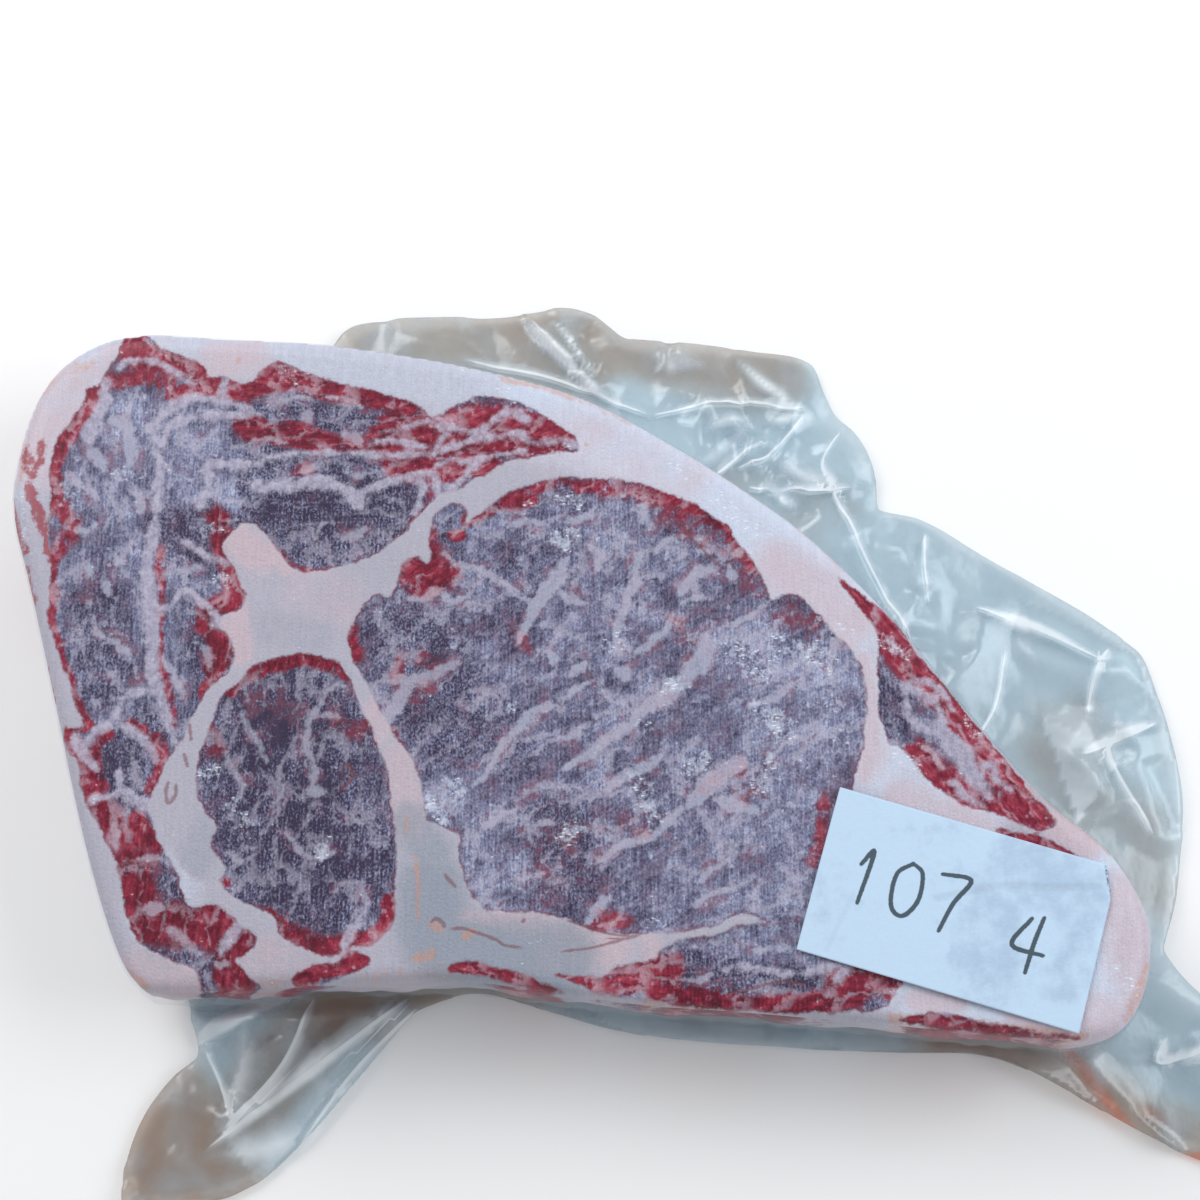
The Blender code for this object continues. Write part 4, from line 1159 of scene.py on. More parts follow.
class Maker:
    """Short calls that add and link the nodes of one material."""

    def __init__(self, name):
        self.material = bpy.data.materials.new(name)
        self.material.use_nodes = True
        self.tree = self.material.node_tree
        self.tree.nodes.clear()
        self.noises = {}
        self.output = self.add("ShaderNodeOutputMaterial")

    def add(self, kind, **settings):
        """A node with these settings."""
        node = self.tree.nodes.new(kind)
        for name, value in settings.items():
            setattr(node, name, value)
        return node

    def feed(self, socket, value):
        """Links or sets a value on a socket."""
        if isinstance(value, bpy.types.NodeSocket):
            self.tree.links.new(value, socket)
        elif socket.type == "RGBA" and not isinstance(value, (int, float)):
            socket.default_value = (*value[:3], 1.0)
        else:
            socket.default_value = value

    def math(self, operation, a, b=0.0):
        """One step of arithmetic."""
        node = self.add("ShaderNodeMath", operation=operation)
        self.feed(node.inputs[0], a)
        self.feed(node.inputs[1], b)
        return node.outputs[0]

    def product(self, a, b):
        """Two values multiplied."""
        return self.math("MULTIPLY", a, b)

    def total(self, *terms):
        """The sum of several values, each a socket, a number or a pair to be multiplied."""
        result = None
        for term in terms:
            value = self.product(*term) if isinstance(term, tuple) else term
            result = value if result is None else self.math("ADD", result, value)
        return result

    def around(self, value, spread):
        """A texture's value, 0 at its middle, stretched by the spread."""
        return self.total((value, spread), -0.5 * spread)

    def varied(self, value, **spreads):
        """A value that wanders with this material's noises, each by its own spread."""
        shifts = (self.around(self.noises[name], spread) for name, spread in spreads.items())
        return self.total(value, *shifts)

    def most(self, first, *others):
        """The greatest of several values."""
        for other in others:
            first = self.math("MAXIMUM", first, other)
        return first

    def ease(self, value, low, high, to_low=0.0, to_high=1.0):
        """A smooth step between two values."""
        node = self.add("ShaderNodeMapRange", interpolation_type="SMOOTHSTEP")
        for socket, number in zip(node.inputs[:5], (value, low, high, to_low, to_high)):
            self.feed(socket, number)
        return node.outputs[0]

    def mix(self, share, a, b):
        """One colour over another."""
        node = self.add("ShaderNodeMix", data_type="RGBA")
        self.feed(node.inputs[0], share)
        self.feed(node.inputs[6], a)
        self.feed(node.inputs[7], b)
        return node.outputs[2]

    def tones(self, value, stops):
        """A colour for each value between 0 and 1, from a row of stops."""
        node = self.add("ShaderNodeValToRGB")
        elements = node.color_ramp.elements
        elements.remove(elements[1])
        elements[0].position, elements[0].color = stops[0][0], (*stops[0][1], 1.0)
        for position, colour in stops[1:]:
            elements.new(position).color = (*colour, 1.0)
        self.feed(node.inputs[0], value)
        return node.outputs[0]

    def place(self):
        """The place on the piece in millimetres."""
        coordinates = self.add("ShaderNodeTexCoord")
        return self.scaled(coordinates.outputs["Object"], (1 / MM,) * 3)

    def scaled(self, vector, scale, turn=0.0):
        """A place stretched, and turned about the vertical."""
        node = self.add("ShaderNodeMapping")
        self.feed(node.inputs["Vector"], vector)
        node.inputs["Scale"].default_value = scale
        node.inputs["Rotation"].default_value = (0, 0, turn)
        return node.outputs[0]

    def noise(self, vector, grain, detail=2.0, rough=0.5):
        """Soft level noise whose marks are about this many millimetres across."""
        node = self.add("ShaderNodeTexNoise", noise_dimensions="2D")
        self.feed(node.inputs["Vector"], vector)
        node.inputs["Scale"].default_value = 1 / grain
        node.inputs["Detail"].default_value = detail
        node.inputs["Roughness"].default_value = rough
        return node.outputs["Fac"]

    def cells(self, vector, grain, feature="F1"):
        """Level cells about this many millimetres across."""
        node = self.add("ShaderNodeTexVoronoi", feature=feature, voronoi_dimensions="2D")
        self.feed(node.inputs["Vector"], vector)
        node.inputs["Scale"].default_value = 1 / grain
        return node

    def stored(self, name):
        """A vertex value stored under this name."""
        return self.add("ShaderNodeAttribute", attribute_name=name)

    def parts(self, vector):
        """The three values of a vector."""
        node = self.add("ShaderNodeSeparateXYZ")
        self.feed(node.inputs[0], vector)
        return node.outputs

    def joined(self, x, y):
        """A level place from its two values."""
        node = self.add("ShaderNodeCombineXYZ")
        self.feed(node.inputs[0], x)
        self.feed(node.inputs[1], y)
        return node.outputs[0]

    def bump(self, height, depth):
        """A bump of so many metres for a height of 1."""
        node = self.add("ShaderNodeBump")
        self.feed(node.inputs["Height"], height)
        node.inputs["Distance"].default_value = depth
        return node.outputs[0]

    def mixed_shaders(self, share, first, second):
        """A share of the second shader over the first."""
        node = self.add("ShaderNodeMixShader")
        self.feed(node.inputs[0], share)
        self.feed(node.inputs[1], first.outputs[0])
        self.feed(node.inputs[2], second.outputs[0])
        return node

    def principled(self, **values):
        """A Principled shader with these inputs, joined to the output."""
        shader = self.add("ShaderNodeBsdfPrincipled")
        for name, value in values.items():
            self.feed(shader.inputs[name.replace("_", " ")], value)
        self.feed(self.output.inputs["Surface"], shader.outputs[0])
        return shader


def fat_colour(make, stains_and_light, lines):
    """Colour of the fat: white on the outside, partly whiter fat and partly painted light, stained pink,
    grey or brown in places.
    """
    colours = bpy.context.scene.beef_colours
    pink_stain, orange_stain, grey_stain_and_light = stains_and_light
    grey = make.varied(grey_stain_and_light, tooth=0.7)
    # Painted light: where the grey field is below 0 the fat brightens to the lit cap colour, which is
    # also the cap's whiter fat
    colour = make.mix(make.ease(grey, -1.0, -0.05, 1, 0), colours.fat, colours.lit_fat_cap)
    pink = make.varied(pink_stain, cloud=1.0)
    colour = make.mix(make.ease(pink, -0.05, 1.0, 0, 0.7), colour, colours.fat_pink)
    colour = make.mix(make.ease(grey, 0.1, 1.0, 0, 0.8), colour, colours.fat_grey)
    orange = make.ease(make.varied(orange_stain, tooth=1.5), 0.25, 1.1, 0, 0.52)
    orange = make.product(orange, make.ease(orange_stain, 0.02, 0.25))
    colour = make.mix(orange, colour, colours.rind)
    outer = make.ease(make.varied(lines[1], tooth=2.2, mottle=1.0), 0.15, 1.0, 0, 0.85)
    outer = make.product(outer, make.ease(lines[1], 0.02, 0.2))
    colour = make.mix(outer, colour, RED_IN_FAT)
    node = make.add("ShaderNodeVectorMath", operation="SCALE")
    make.feed(node.inputs[0], colour)
    make.feed(node.inputs["Scale"], make.varied(1.0, mottle=0.12, streak=0.14, tooth=0.14))
    return node.outputs[0]


def meat_material():
    """The sawn face and the wall: lean, marbling and fat, frosted in places."""
    colours = bpy.context.scene.beef_colours
    make = Maker("frozen_beef")
    place = make.stored("pattern").outputs["Vector"]
    grain = make.stored("grain").outputs["Vector"]
    red, haze, ice = make.parts(make.stored("marks").outputs["Vector"])
    stains_and_light = make.parts(make.stored("stains_and_light").outputs["Vector"])
    lines = make.parts(make.stored("lines").outputs["Vector"])
    crease_side, crease_near, _ = make.parts(make.stored("creases").outputs["Vector"])

    make.noises = {
        "mottle": make.noise(make.scaled(place, (1.0, 0.75, 1.0)), 0.6, 2.0, 0.6),
        "tooth": make.noise(place, 2.1, 3.0, 0.6),
        "lobe": make.noise(make.scaled(place, (1, 1, 1), 0.7), 5.5, 2.0, 0.5),
        "cloud": make.noise(make.scaled(place, (1, 1, 1), 2.0), 12.0, 3.0, 0.6),
        "streak": make.noise(make.scaled(place, (1.0, 0.09, 1.0)), 0.75, 1.0),
        "fibre": make.noise(make.scaled(grain, (0.22, 1.0, 0.0)), 1.3, 2.0, 0.6),
    }
    mottle, tooth, lobe, cloud, _, _ = make.noises.values()
    lean_edge = make.varied(make.stored("lean").outputs["Fac"], tooth=1.7, mottle=0.5, lobe=0.8)
    is_lean = make.ease(lean_edge, -0.45, 0.45)

    saw_line = make.varied((make.parts(place)[0], math.tau / SAW_PITCH), lobe=9.0)
    hatch = make.product(make.math("SINE", saw_line), make.ease(lines[2], 0.0, 1.0, 0.015, 0.14))
    shared = make.varied(hatch, tooth=0.9, lobe=0.45, cloud=0.65)
    coarse = make.product(make.around(mottle, 1.0), make.ease(haze, -0.8, 0.1, 1.9, 0.9))
    tone = make.total(0.46, shared, coarse, (haze, 0.3))
    frosted = make.tones(make.varied(tone, tooth=-0.4, cloud=0.3, streak=0.55, fibre=0.5), FROST_TONES)
    warm = make.ease(make.varied(0.0, cloud=-1.6, lobe=1.2, fibre=1.2), 0.0, 0.5, 0, 0.35)
    warm = make.product(warm, make.ease(haze, -1.1, -0.3, 0.25, 1.0))
    frosted = make.mix(warm, frosted, WARM_LEAN)
    tone = make.total(0.44, shared, (haze, 0.24))
    fresh = make.tones(make.varied(tone, mottle=0.3, fibre=1.0), RED_TONES)
    fresh = make.mix(make.ease(red, 0.45, 0.95), WINE_LEAN, fresh)
    red_edge = make.varied(red, mottle=-0.5, lobe=1.1, tooth=-1.2, fibre=0.7)
    lean = make.mix(make.ease(red_edge, 0.2, 0.95), frosted, fresh)

    vein_edge = make.varied(make.stored("vein").outputs["Fac"], tooth=2.0, mottle=0.4, lobe=1.3)
    vein = make.ease(vein_edge, -0.85, 0.55, 0, 0.93)
    seam = make.ease(make.varied(lines[0], tooth=1.6, mottle=0.4, lobe=3.0), -1.15, 0.6, 0, 0.93)
    node = make.add("ShaderNodeVectorMath", operation="ADD")
    make.feed(node.inputs[0], make.scaled(grain, (0.42, 1.0, 0.0)))
    make.feed(node.inputs[1], make.joined(make.around(tooth, 3.0), make.around(lobe, 6.0)))
    web = make.cells(node.outputs[0], 5.4, "DISTANCE_TO_EDGE").outputs["Distance"]
    thread = make.total(make.ease(cloud, 0.38, 0.62, -0.06, 0.12), (web, -1.0))
    thread = make.ease(make.varied(thread, tooth=0.3), -0.12, 0.1, 0, 0.6)
    fleck = make.ease(make.varied(0.0, fibre=1.0, lobe=0.8, tooth=0.9), 0.12, 0.7, 0, 0.42)
    fleck = make.product(fleck, make.ease(haze, -0.7, 0.0, 0.35, 1.0))
    fleck = make.product(fleck, make.ease(red_edge, 0.2, 0.9, 1, 0.3))
    marbling = make.product(
        make.most(vein, seam, thread, fleck), make.varied(0.9, mottle=0.5, streak=0.25, tooth=0.4))
    vein_colour = make.mix(make.ease(cloud, 0.4, 0.62), BLUE_VEIN, colours.vein)
    vein_colour = make.mix(make.ease(red_edge, 0.3, 0.9, 0, 0.6), vein_colour, PINK_VEIN)
    vein_colour = make.mix(make.ease(haze, -0.8, -0.1, 0.45, 0), vein_colour, DARK_VEIN)
    seam_colour = make.mix(make.ease(tooth, 0.35, 0.65), DARK_SEAM, LIGHT_SEAM)
    vein_colour = make.mix(seam, vein_colour, seam_colour)
    rim = make.product(make.ease(lean_edge, 0.1, 1.2, 0.65, 0.0), make.ease(lobe, 0.36, 0.54))
    lean = make.mix(rim, lean, LEAN_RIM)
    beside = make.product(make.ease(vein_edge, -2.6, -1.2), make.ease(lobe, 0.5, 0.64, 0, 0.4))
    lean = make.mix(beside, lean, LEAN_BESIDE_VEIN)
    lean = make.mix(marbling, lean, vein_colour)
    colour = make.mix(is_lean, fat_colour(make, stains_and_light, lines), lean)

    icy_and_glare = make.varied(ice, mottle=0.9, tooth=2.2, lobe=1.0)
    frost = make.product(make.ease(icy_and_glare, 0.5, 1.5, 0, 0.6), make.ease(ice, 0.02, 0.3))
    # Painted glints: tiny white highlights where the film crinkles, over the ice marks
    glint_cells = make.cells(make.scaled(place, (0.55, 1.5, 1.0), 0.9), 1.1)
    chosen = make.ease(make.parts(glint_cells.outputs["Color"])[0], 0.66, 0.8)
    glint = make.product(make.ease(glint_cells.outputs["Distance"], 0.1, 0.42, 0.75, 0), chosen)
    glint = make.product(glint, make.ease(icy_and_glare, 0.35, 0.9))
    crumb = make.cells(place, 7.0)
    radius = make.ease(make.parts(crumb.outputs["Color"])[0], 0.5, 1.0, -0.02, 0.09)
    speck = make.varied(make.total(radius, (crumb.outputs["Distance"], -1.0)), mottle=0.12)
    speck = make.product(make.ease(speck, -0.02, 0.04, 0, 0.45), make.ease(haze, -0.4, 0.4, 0.3, 1.0))
    colour = make.mix(make.most(frost, make.product(speck, is_lean)), colour, colours.ice)
    colour = make.mix(glint, colour, GLINT)
    crease = make.varied(make.math("ABSOLUTE", crease_side), tooth=2.0)
    crease = make.product(make.ease(crease, 0.4, 1.6, 0.6, 0), make.ease(crease_near, 0.42, 0.6))
    colour = make.mix(crease, colour, CREASE_COLOUR)
    make.principled(
        Base_Color=colour, Roughness=0.5, Specular_IOR_Level=0.12, Normal=make.bump(mottle, 0.0003))
    return make.material


def film_material(name, clear):
    """Clear plastic film: tinted light through it and a shine on it, and on the loose film painted gleams
    and crease highlights in its milky haze.
    """
    colours = bpy.context.scene.beef_colours
    make = Maker(name)
    through = make.add("ShaderNodeBsdfTransparent")
    haze = make.add("ShaderNodeBsdfDiffuse")
    shine = make.add("ShaderNodeBsdfGlossy")
    make.feed(shine.inputs["Color"], FILM_SHINE)
    shine.inputs["Roughness"].default_value = 0.2 if clear else 0.24
    edge = make.math("POWER", make.add("ShaderNodeLayerWeight").outputs["Facing"], 4.0)
    if clear:
        make.feed(through.inputs["Color"], CLEAR_THROUGH)
        make.feed(haze.inputs["Color"], CLEAR_HAZE)
        haze_and_sheen_share, gloss = 0.004, make.total(0.013, (edge, 0.35))
    else:
        warm, dark, light = make.parts(make.stored("tints_and_gleams").outputs["Vector"])
        place = make.stored("pattern").outputs["Vector"]
        soft, fine = make.noise(place, 16, 2.0), make.noise(place, 4.5, 2.0)
        make.noises = {"soft": soft, "fine": fine}
        warm = make.ease(make.varied(warm, soft=0.9), 0.1, 0.9)
        dark = make.ease(make.varied(dark, soft=0.5), 0.05, 0.9, 0, 0.9)
        tint = make.mix(dark, make.mix(warm, colours.film, colours.film_warm), DARK_THROUGH)
        tint = make.mix(make.ease(make.stored("blood").outputs["Fac"], 0.05, 0.9), tint, BLOOD_THROUGH)
        make.feed(through.inputs["Color"], tint)
        side, near, _ = make.parts(make.stored("creases").outputs["Vector"])
        # Painted highlights: a bright line along each crease and a soft glow on one side, added to the
        # drawn gleams, lighten the milky haze
        crease_highlight = make.ease(make.math("ABSOLUTE", side), 0.2, 1.3, 1, 0)
        crease_highlight = make.product(crease_highlight, make.ease(near, 0.1, 0.8))
        glow = make.product(make.ease(side, 0.5, 6, 0.45, 0), make.math("GREATER_THAN", side, 0.0))
        glow = make.product(glow, make.ease(near, 0.0, 0.5))
        bright = make.varied(make.total(light, (crease_highlight, 0.85), glow), soft=0.3, fine=0.12)
        bright = make.ease(bright, 0.0, 1.1)
        make.feed(haze.inputs["Color"], make.mix(bright, DIM_HAZE, PAINTED_SHEEN))
        haze_and_sheen_share = make.total(make.ease(soft, 0.35, 0.7, 0.03, 0.15), (bright, 0.62))
        gloss = make.total(0.05, (edge, 0.5))
        make.feed(shine.inputs["Normal"], make.bump(fine, 0.0002))
    body = make.mixed_shaders(haze_and_sheen_share, through, haze)
    make.feed(make.output.inputs["Surface"], make.mixed_shaders(gloss, body, shine).outputs[0])
    return make.material


def paper_material():
    """Thin paper: faint fibres, damp grey-blue patches, folds and pen strokes."""
    colours = bpy.context.scene.beef_colours
    make = Maker("tag_paper")
    place = make.place()
    ink, damp, fold = make.parts(make.stored("tag_marks").outputs["Vector"])
    patch = make.noise(place, 7, 4, 0.62)
    fibre = make.noise(make.scaled(place, (1, 3, 1), 0.4), 1.5, 3, 0.6)
    make.noises = {"patch": patch, "fibre": fibre}
    colour = make.mix(
        make.ease(make.varied(damp, patch=2.4), 0.2, 1.3, 0, 0.5), colours.paper, DAMP_PAPER)
    colour = make.mix(make.ease(fibre, 0.45, 0.75, 0, 0.16), colour, LIGHT_FIBRE)
    colour = make.mix(make.ease(fold, 0.0, 0.8, 0, 0.25), colour, FOLD_SHADE)
    mark = make.ease(make.varied(ink, fibre=0.35), -0.1, 0.18, 0, 0.93)
    colour = make.mix(mark, colour, INK)
    make.principled(Base_Color=colour, Roughness=0.62, Normal=make.bump(patch, 0.0002))
    return make.material


def floor_material():
    """A plain pale floor with the faintest unevenness."""
    make = Maker("pale_floor")
    cloud = make.noise(make.place(), 240)
    floor = bpy.context.scene.beef_colours.floor
    darker = tuple(0.985 * value for value in floor)
    make.principled(Base_Color=make.mix(cloud, floor, darker), Roughness=0.75)
    return make.material


# Operators


class BEEF_OT_cut_face(bpy.types.Operator):
    """Make the sawn face: muscles, seams, marbling and fat, with its rounded rim"""

    bl_idname = "beef.cut_face"
    bl_label = "Cut face"

    def execute(self, context):
        size = sizes()
        low, high = SLAB_LOOP.min(axis=0) - 1, SLAB_LOOP.max(axis=0) + 1
        face = add_grid("cut_face", low, high, size["face_cell"])
        trim_to(face, SLAB_LOOP)
        points = points_of(face)[:, :2]
        depth = np.clip(depth_inside(points, SLAB_LOOP), 0, None)
        lean = store_meat_fields(face, points, np.column_stack([points, 0 * depth]))
        move_points(face, placed(points, meat_height(points, depth, lean, size)))
        finish_piece(face, meat_material(), "meat", STEAK_NODE)
        return {"FINISHED"}


class BEEF_OT_slab_wall(bpy.types.Operator):
    """Make the slice's wall and underside, carrying the face's colours down the side"""

    bl_idname = "beef.slab_wall"
    bl_label = "Wall and underside"

    levels: bpy.props.IntProperty(name="Levels", description="Rows of faces down the wall", default=26)

    def execute(self, context):
        size = sizes()
        outward = -inward_normals(SLAB_LOOP)
        around = np.arange(len(SLAB_LOOP)) / len(SLAB_LOOP) * math.tau
        highest, lowest = FACE_HEIGHT - size["rim"], UNDERSIDE + size["foot"]
        rows = [placed(SLAB_LOOP - WALL_TUCK * outward, highest + WALL_OVERLAP)]
        for level in range(self.levels + 1):
            share = level / self.levels
            ripple = sum(
                deep * np.sin(count * around + lean * share) for deep, count, lean in WALL_RIPPLES)
            bulge = math.sin(share * math.pi) * (WALL_BULGE + ripple)
            height = highest + (lowest - highest) * share
            rows.append(placed(SLAB_LOOP + outward * bulge[:, None], height))
        for inset in FOOT_INSETS:
            rows.append(placed(SLAB_LOOP - outward * inset, UNDERSIDE + rounding(inset, size["foot"])))
        wall = roll_grid("slab_wall", SLAB_LOOP, rows)
        self.close_underside(wall)

        places = points_of(wall)
        points = places[:, :2] / MM - DATUM
        height = places[:, 2] / MM
        _, segment, share = nearest_on(points, SLAB_LOOP, np.roll(SLAB_LOOP, -1, axis=0))
        inner = SLAB_LOOP - COLOUR_INSET * outward
        wander = self.wander(segment + share, FACE_HEIGHT - height)
        unfolded = SLAB_LOOP[segment] + outward[segment] * (FACE_HEIGHT - height)[:, None]
        pattern = np.column_stack([unfolded, 0 * height])
        store_meat_fields(wall, self.along(inner, wander), pattern)
        finish_piece(wall, meat_material(), "meat", STEAK_NODE)
        return {"FINISHED"}

    @staticmethod
    def wander(place, below):
        """Place on the outline that each point takes its colours from, drifting down the wall."""
        waves = sum(wide * np.sin(below / down + place * turn) for wide, down, turn in DRIFT_WAVES)
        return place + ramp(below, DRIFT_START, DRIFT_GROWTH) * (waves - DRIFT_SHIFT)

    @staticmethod
    def along(loop, place):
        """Points on a closed loop at places counted in corners."""
        start = np.floor(place).astype(int)
        share = (place - start)[:, None]
        return loop[start % len(loop)] * (1 - share) + loop[(start + 1) % len(loop)] * share

    @staticmethod
    def close_underside(wall):
        """Fills the open loop at the bottom with one flat face."""
        rim = edge_points(wall)
        bottom = points_of(wall)[:, 2] < (UNDERSIDE + 0.5) * MM
        mesh = wall.data
        chosen = (rim & bottom)[edge_ends(wall)].all(axis=1)
        select_faces(wall, np.zeros(len(mesh.polygons), dtype=bool))
        mesh.edges.foreach_set("select", chosen)
        mesh.vertices.foreach_set("select", rim & bottom)
        bpy.context.tool_settings.mesh_select_mode = (False, True, False)
        with editing():
            bpy.ops.mesh.edge_face_add()
            bpy.ops.mesh.select_all(action="SELECT")
            bpy.ops.mesh.normals_make_consistent(inside=False)


def tag_frame(points):
    """Points drawn on the face, as places along and across the tag from its middle."""
    return turned(points - np.array(TAG_CENTRE), -TAG_TURN)


def tag_outside(points):
    """Distance outside the tag's cut-cornered outline, negative inside it."""
    along, across = tag_frame(points).T
    box = np.maximum(np.abs(along) - TAG_LENGTH / 2, np.abs(across) - TAG_WIDTH / 2)
    corner = (along - TAG_LENGTH / 2) / TAG_CUT_LENGTH + (across - TAG_WIDTH / 2) / TAG_CUT_WIDTH + 1
    slope = math.hypot(1 / TAG_CUT_LENGTH, 1 / TAG_CUT_WIDTH)
    return np.maximum(box, corner / slope)


def tag_height(points, size):
    """Height of the tag's lower face, gently curled."""
    across = np.sin((points[:, 0] - points[:, 1]) / TAG_LENGTH * math.pi)
    return FACE_HEIGHT + size["gap"] + size["tag_curl"] * (1 + across)


class BEEF_OT_paper_tag(bpy.types.Operator):
    """Make the paper tag with its cut corner, curl and pen-written numbers"""

    bl_idname = "beef.paper_tag"
    bl_label = "Paper tag"

    thickness: bpy.props.FloatProperty(
        name="Thickness", description="Thickness of the paper", default=0.0003, unit="LENGTH")

    def execute(self, context):
        size = sizes()
        x, y = TAG_LENGTH / 2, TAG_WIDTH / 2
        tag = add_grid("tag_sheet", (-x, -y), (x, y), TAG_CELL)
        flat = points_of(tag)[:, :2]
        cut = (flat[:, 0] - x) / TAG_CUT_LENGTH + (flat[:, 1] - y) / TAG_CUT_WIDTH + 1
        slope = np.array([1 / TAG_CUT_LENGTH, 1 / TAG_CUT_WIDTH])
        flat -= np.clip(cut, 0, None)[:, None] * slope / (slope @ slope)
        drawn = np.array(TAG_CENTRE) + turned(flat, TAG_TURN)
        wet, fold = painted(flat, TAG_DAMP), painted(flat, TAG_FOLDS)
        store(tag, "tag_marks", np.column_stack([drawn_depth(flat, PEN_STROKES, 0.15), wet, fold]))
        height = tag_height(drawn, size) + self.thickness / MM - FOLD_DEPTH * fold
        move_points(tag, placed(drawn, height))
        give_thickness(tag, self.thickness)
        finish_piece(tag, paper_material(), "tag_paper", TAG_NODE)
        return {"FINISHED"}


class BEEF_OT_clinging_film(bpy.types.Operator):
    """Make the film that clings to the face and wall"""

    bl_idname = "beef.clinging_film"
    bl_label = "Clinging film"

    rings: bpy.props.IntProperty(name="Rings", description="Rows of faces on the face", default=70)
    levels: bpy.props.IntProperty(name="Levels", description="Rows of faces down the wall", default=20)

    def execute(self, context):
        size = sizes()
        loop = even_loop(SLAB, 2.2)
        outward = -inward_normals(loop)
        middle = np.array(FILM_MIDDLE)
        around = np.arange(len(loop)) / len(loop) * math.tau
        rows = []
        for ring in range(self.rings + 1):
            share = FILM_HOLE + (1 - FILM_HOLE) * ring / self.rings
            points = middle + (loop - middle) * share
            depth = np.clip(depth_inside(points, SLAB_LOOP), 0, None)
            lift = LIFT_OVER_TAG * ramp(-tag_outside(points), -TAG_SLOPE, TAG_SLOPE)
            height = FACE_HEIGHT + CLEARANCE + lift - rounding(depth, size["rim"])
            shift = CLEARANCE * ramp(-depth, -size["rim"], size["rim"])
            rows.append(placed(points + outward * shift[:, None], height))
        for level in range(1, self.levels + 1):
            share = level / self.levels
            height = (FACE_HEIGHT - size["rim"]) * (1 - share) + (size["film"] + CLEARANCE) * share
            bulge = math.sin(min(1.0, share * 1.05) * math.pi) * FILM_BULGE + CLEARANCE + FILM_SLACK
            wrinkle = WRINKLE_DEPTH * np.sin(WRINKLES_ROUND * around + WRINKLE_LEAN * share)
            wrinkle = wrinkle * math.sin(share * math.pi)
            rows.append(placed(loop + outward * (bulge + wrinkle)[:, None], height))
        film = roll_grid("clinging_film", loop, rows)
        finish_piece(film, film_material("clinging_film", True), "clear_film")
        return {"FINISHED"}


def knots_of_folds():
    """Ridge points of the drawn folds and the low points beside them, with their heights."""
    knots, heights = [], []
    for peak, reach, *line in FOLDS:
        ridge = spaced(smooth_path(line, samples=8), FOLD_STEP, least=3)
        along = np.gradient(ridge, axis=0)
        side = np.stack([-along[:, 1], along[:, 0]], axis=1) / np.linalg.norm(along, axis=1)[:, None]
        fade = 1 - np.abs(np.linspace(-1, 1, len(ridge))) ** 4
        for offset, share in FOLD_ROWS:
            knots.append(ridge + side * offset * reach * FOLD_SPREAD)
            heights.append(FOLD_SHARE * peak * share * fade)
    return np.concatenate(knots), np.concatenate(heights)


def facets_between(knots):
    """Corners and triangles of the flat facets between the knots, and each corner's knots."""
    places = [Vector(knot) for knot in knots]
    corners, _, triangles, origins, _, _ = delaunay_2d_cdt(places, [], [], 0, 1e-4)
    return np.array(corners), triangles, origins


def facet_heights(points, knots, heights):
    """Height at each point of the flat facets that join the knots."""
    corners, triangles, origins = facets_between(knots)
    levels = np.array([heights[source[0]] for source in origins])
    result = np.zeros(len(points))
    for triangle in triangles:
        a, b, c = corners[list(triangle)]
        low, high = np.minimum(np.minimum(a, b), c), np.maximum(np.maximum(a, b), c)
        near = np.flatnonzero(np.all((points >= low) & (points <= high), axis=1))
        offset = points[near] - a
        area = (b[0] - a[0]) * (c[1] - a[1]) - (c[0] - a[0]) * (b[1] - a[1])
        to_b = (offset[:, 0] * (c[1] - a[1]) - (c[0] - a[0]) * offset[:, 1]) / area
        to_c = ((b[0] - a[0]) * offset[:, 1] - offset[:, 0] * (b[1] - a[1])) / area
        inside = (to_b >= -1e-6) & (to_c >= -1e-6) & (to_b + to_c <= 1 + 1e-6)
        level = levels[list(triangle)]
        height = level[0] + to_b * (level[1] - level[0]) + to_c * (level[2] - level[0])
        result[near[inside]] = height[inside]
    return result


def scattered_knots(points, spacing, rng):
    """Knots spread unevenly over the points' box, with a chance value for each."""
    low, high = points.min(axis=0) - 2 * spacing, points.max(axis=0) + 2 * spacing
    grid = np.stack(np.meshgrid(*(np.arange(low[axis], high[axis], spacing) for axis in (0, 1))), axis=-1)
    grid = grid.reshape(-1, 2)
    return grid + rng.uniform(-0.45, 0.45, grid.shape) * spacing, rng.uniform(0, 1, len(grid))


def crumpled(points, peak, fine_peak, seed):
    """Height of crumpled film: large facets, the drawn folds, and small facets over both."""
    rng = np.random.default_rng(seed)
    knots, chance = scattered_knots(points, KNOT_SPACING, rng)
    fold_knots, fold_heights = knots_of_folds()
    clear = np.array([np.min(np.hypot(*(fold_knots - knot).T)) > FOLD_CLEAR for knot in knots])
    knots = np.concatenate([knots[clear], fold_knots])
    heights = np.concatenate([peak * chance[clear] ** 1.6, fold_heights])
    fine_knots, fine_chance = scattered_knots(points, FINE_SPACING, rng)
    amount = 0.25 + 0.75 * (rng.uniform(0, 1, len(fine_knots)) > 0.6)
    fine = facet_heights(points, fine_knots, fine_peak * fine_chance * amount)
    return facet_heights(points, knots, heights) + fine


def gleams(points, strokes):
    """Long gleams that run out at both ends, over facets that catch more or less light."""
    rng = np.random.default_rng(CREASE_SEED + 2)
    knots, _ = scattered_knots(points, GLEAM_SPACING, rng)
    shine = np.zeros(len(points))
    for radius, strength, *line in strokes:
        depth = stroke_reach(points, radius, line, 0.97, reach=0.0)
        shine = np.maximum(shine, strength * np.clip(depth / radius, 0, 1) ** 1.6)
    return shine + FACET_SHINE * facet_tones(points, knots, rng)


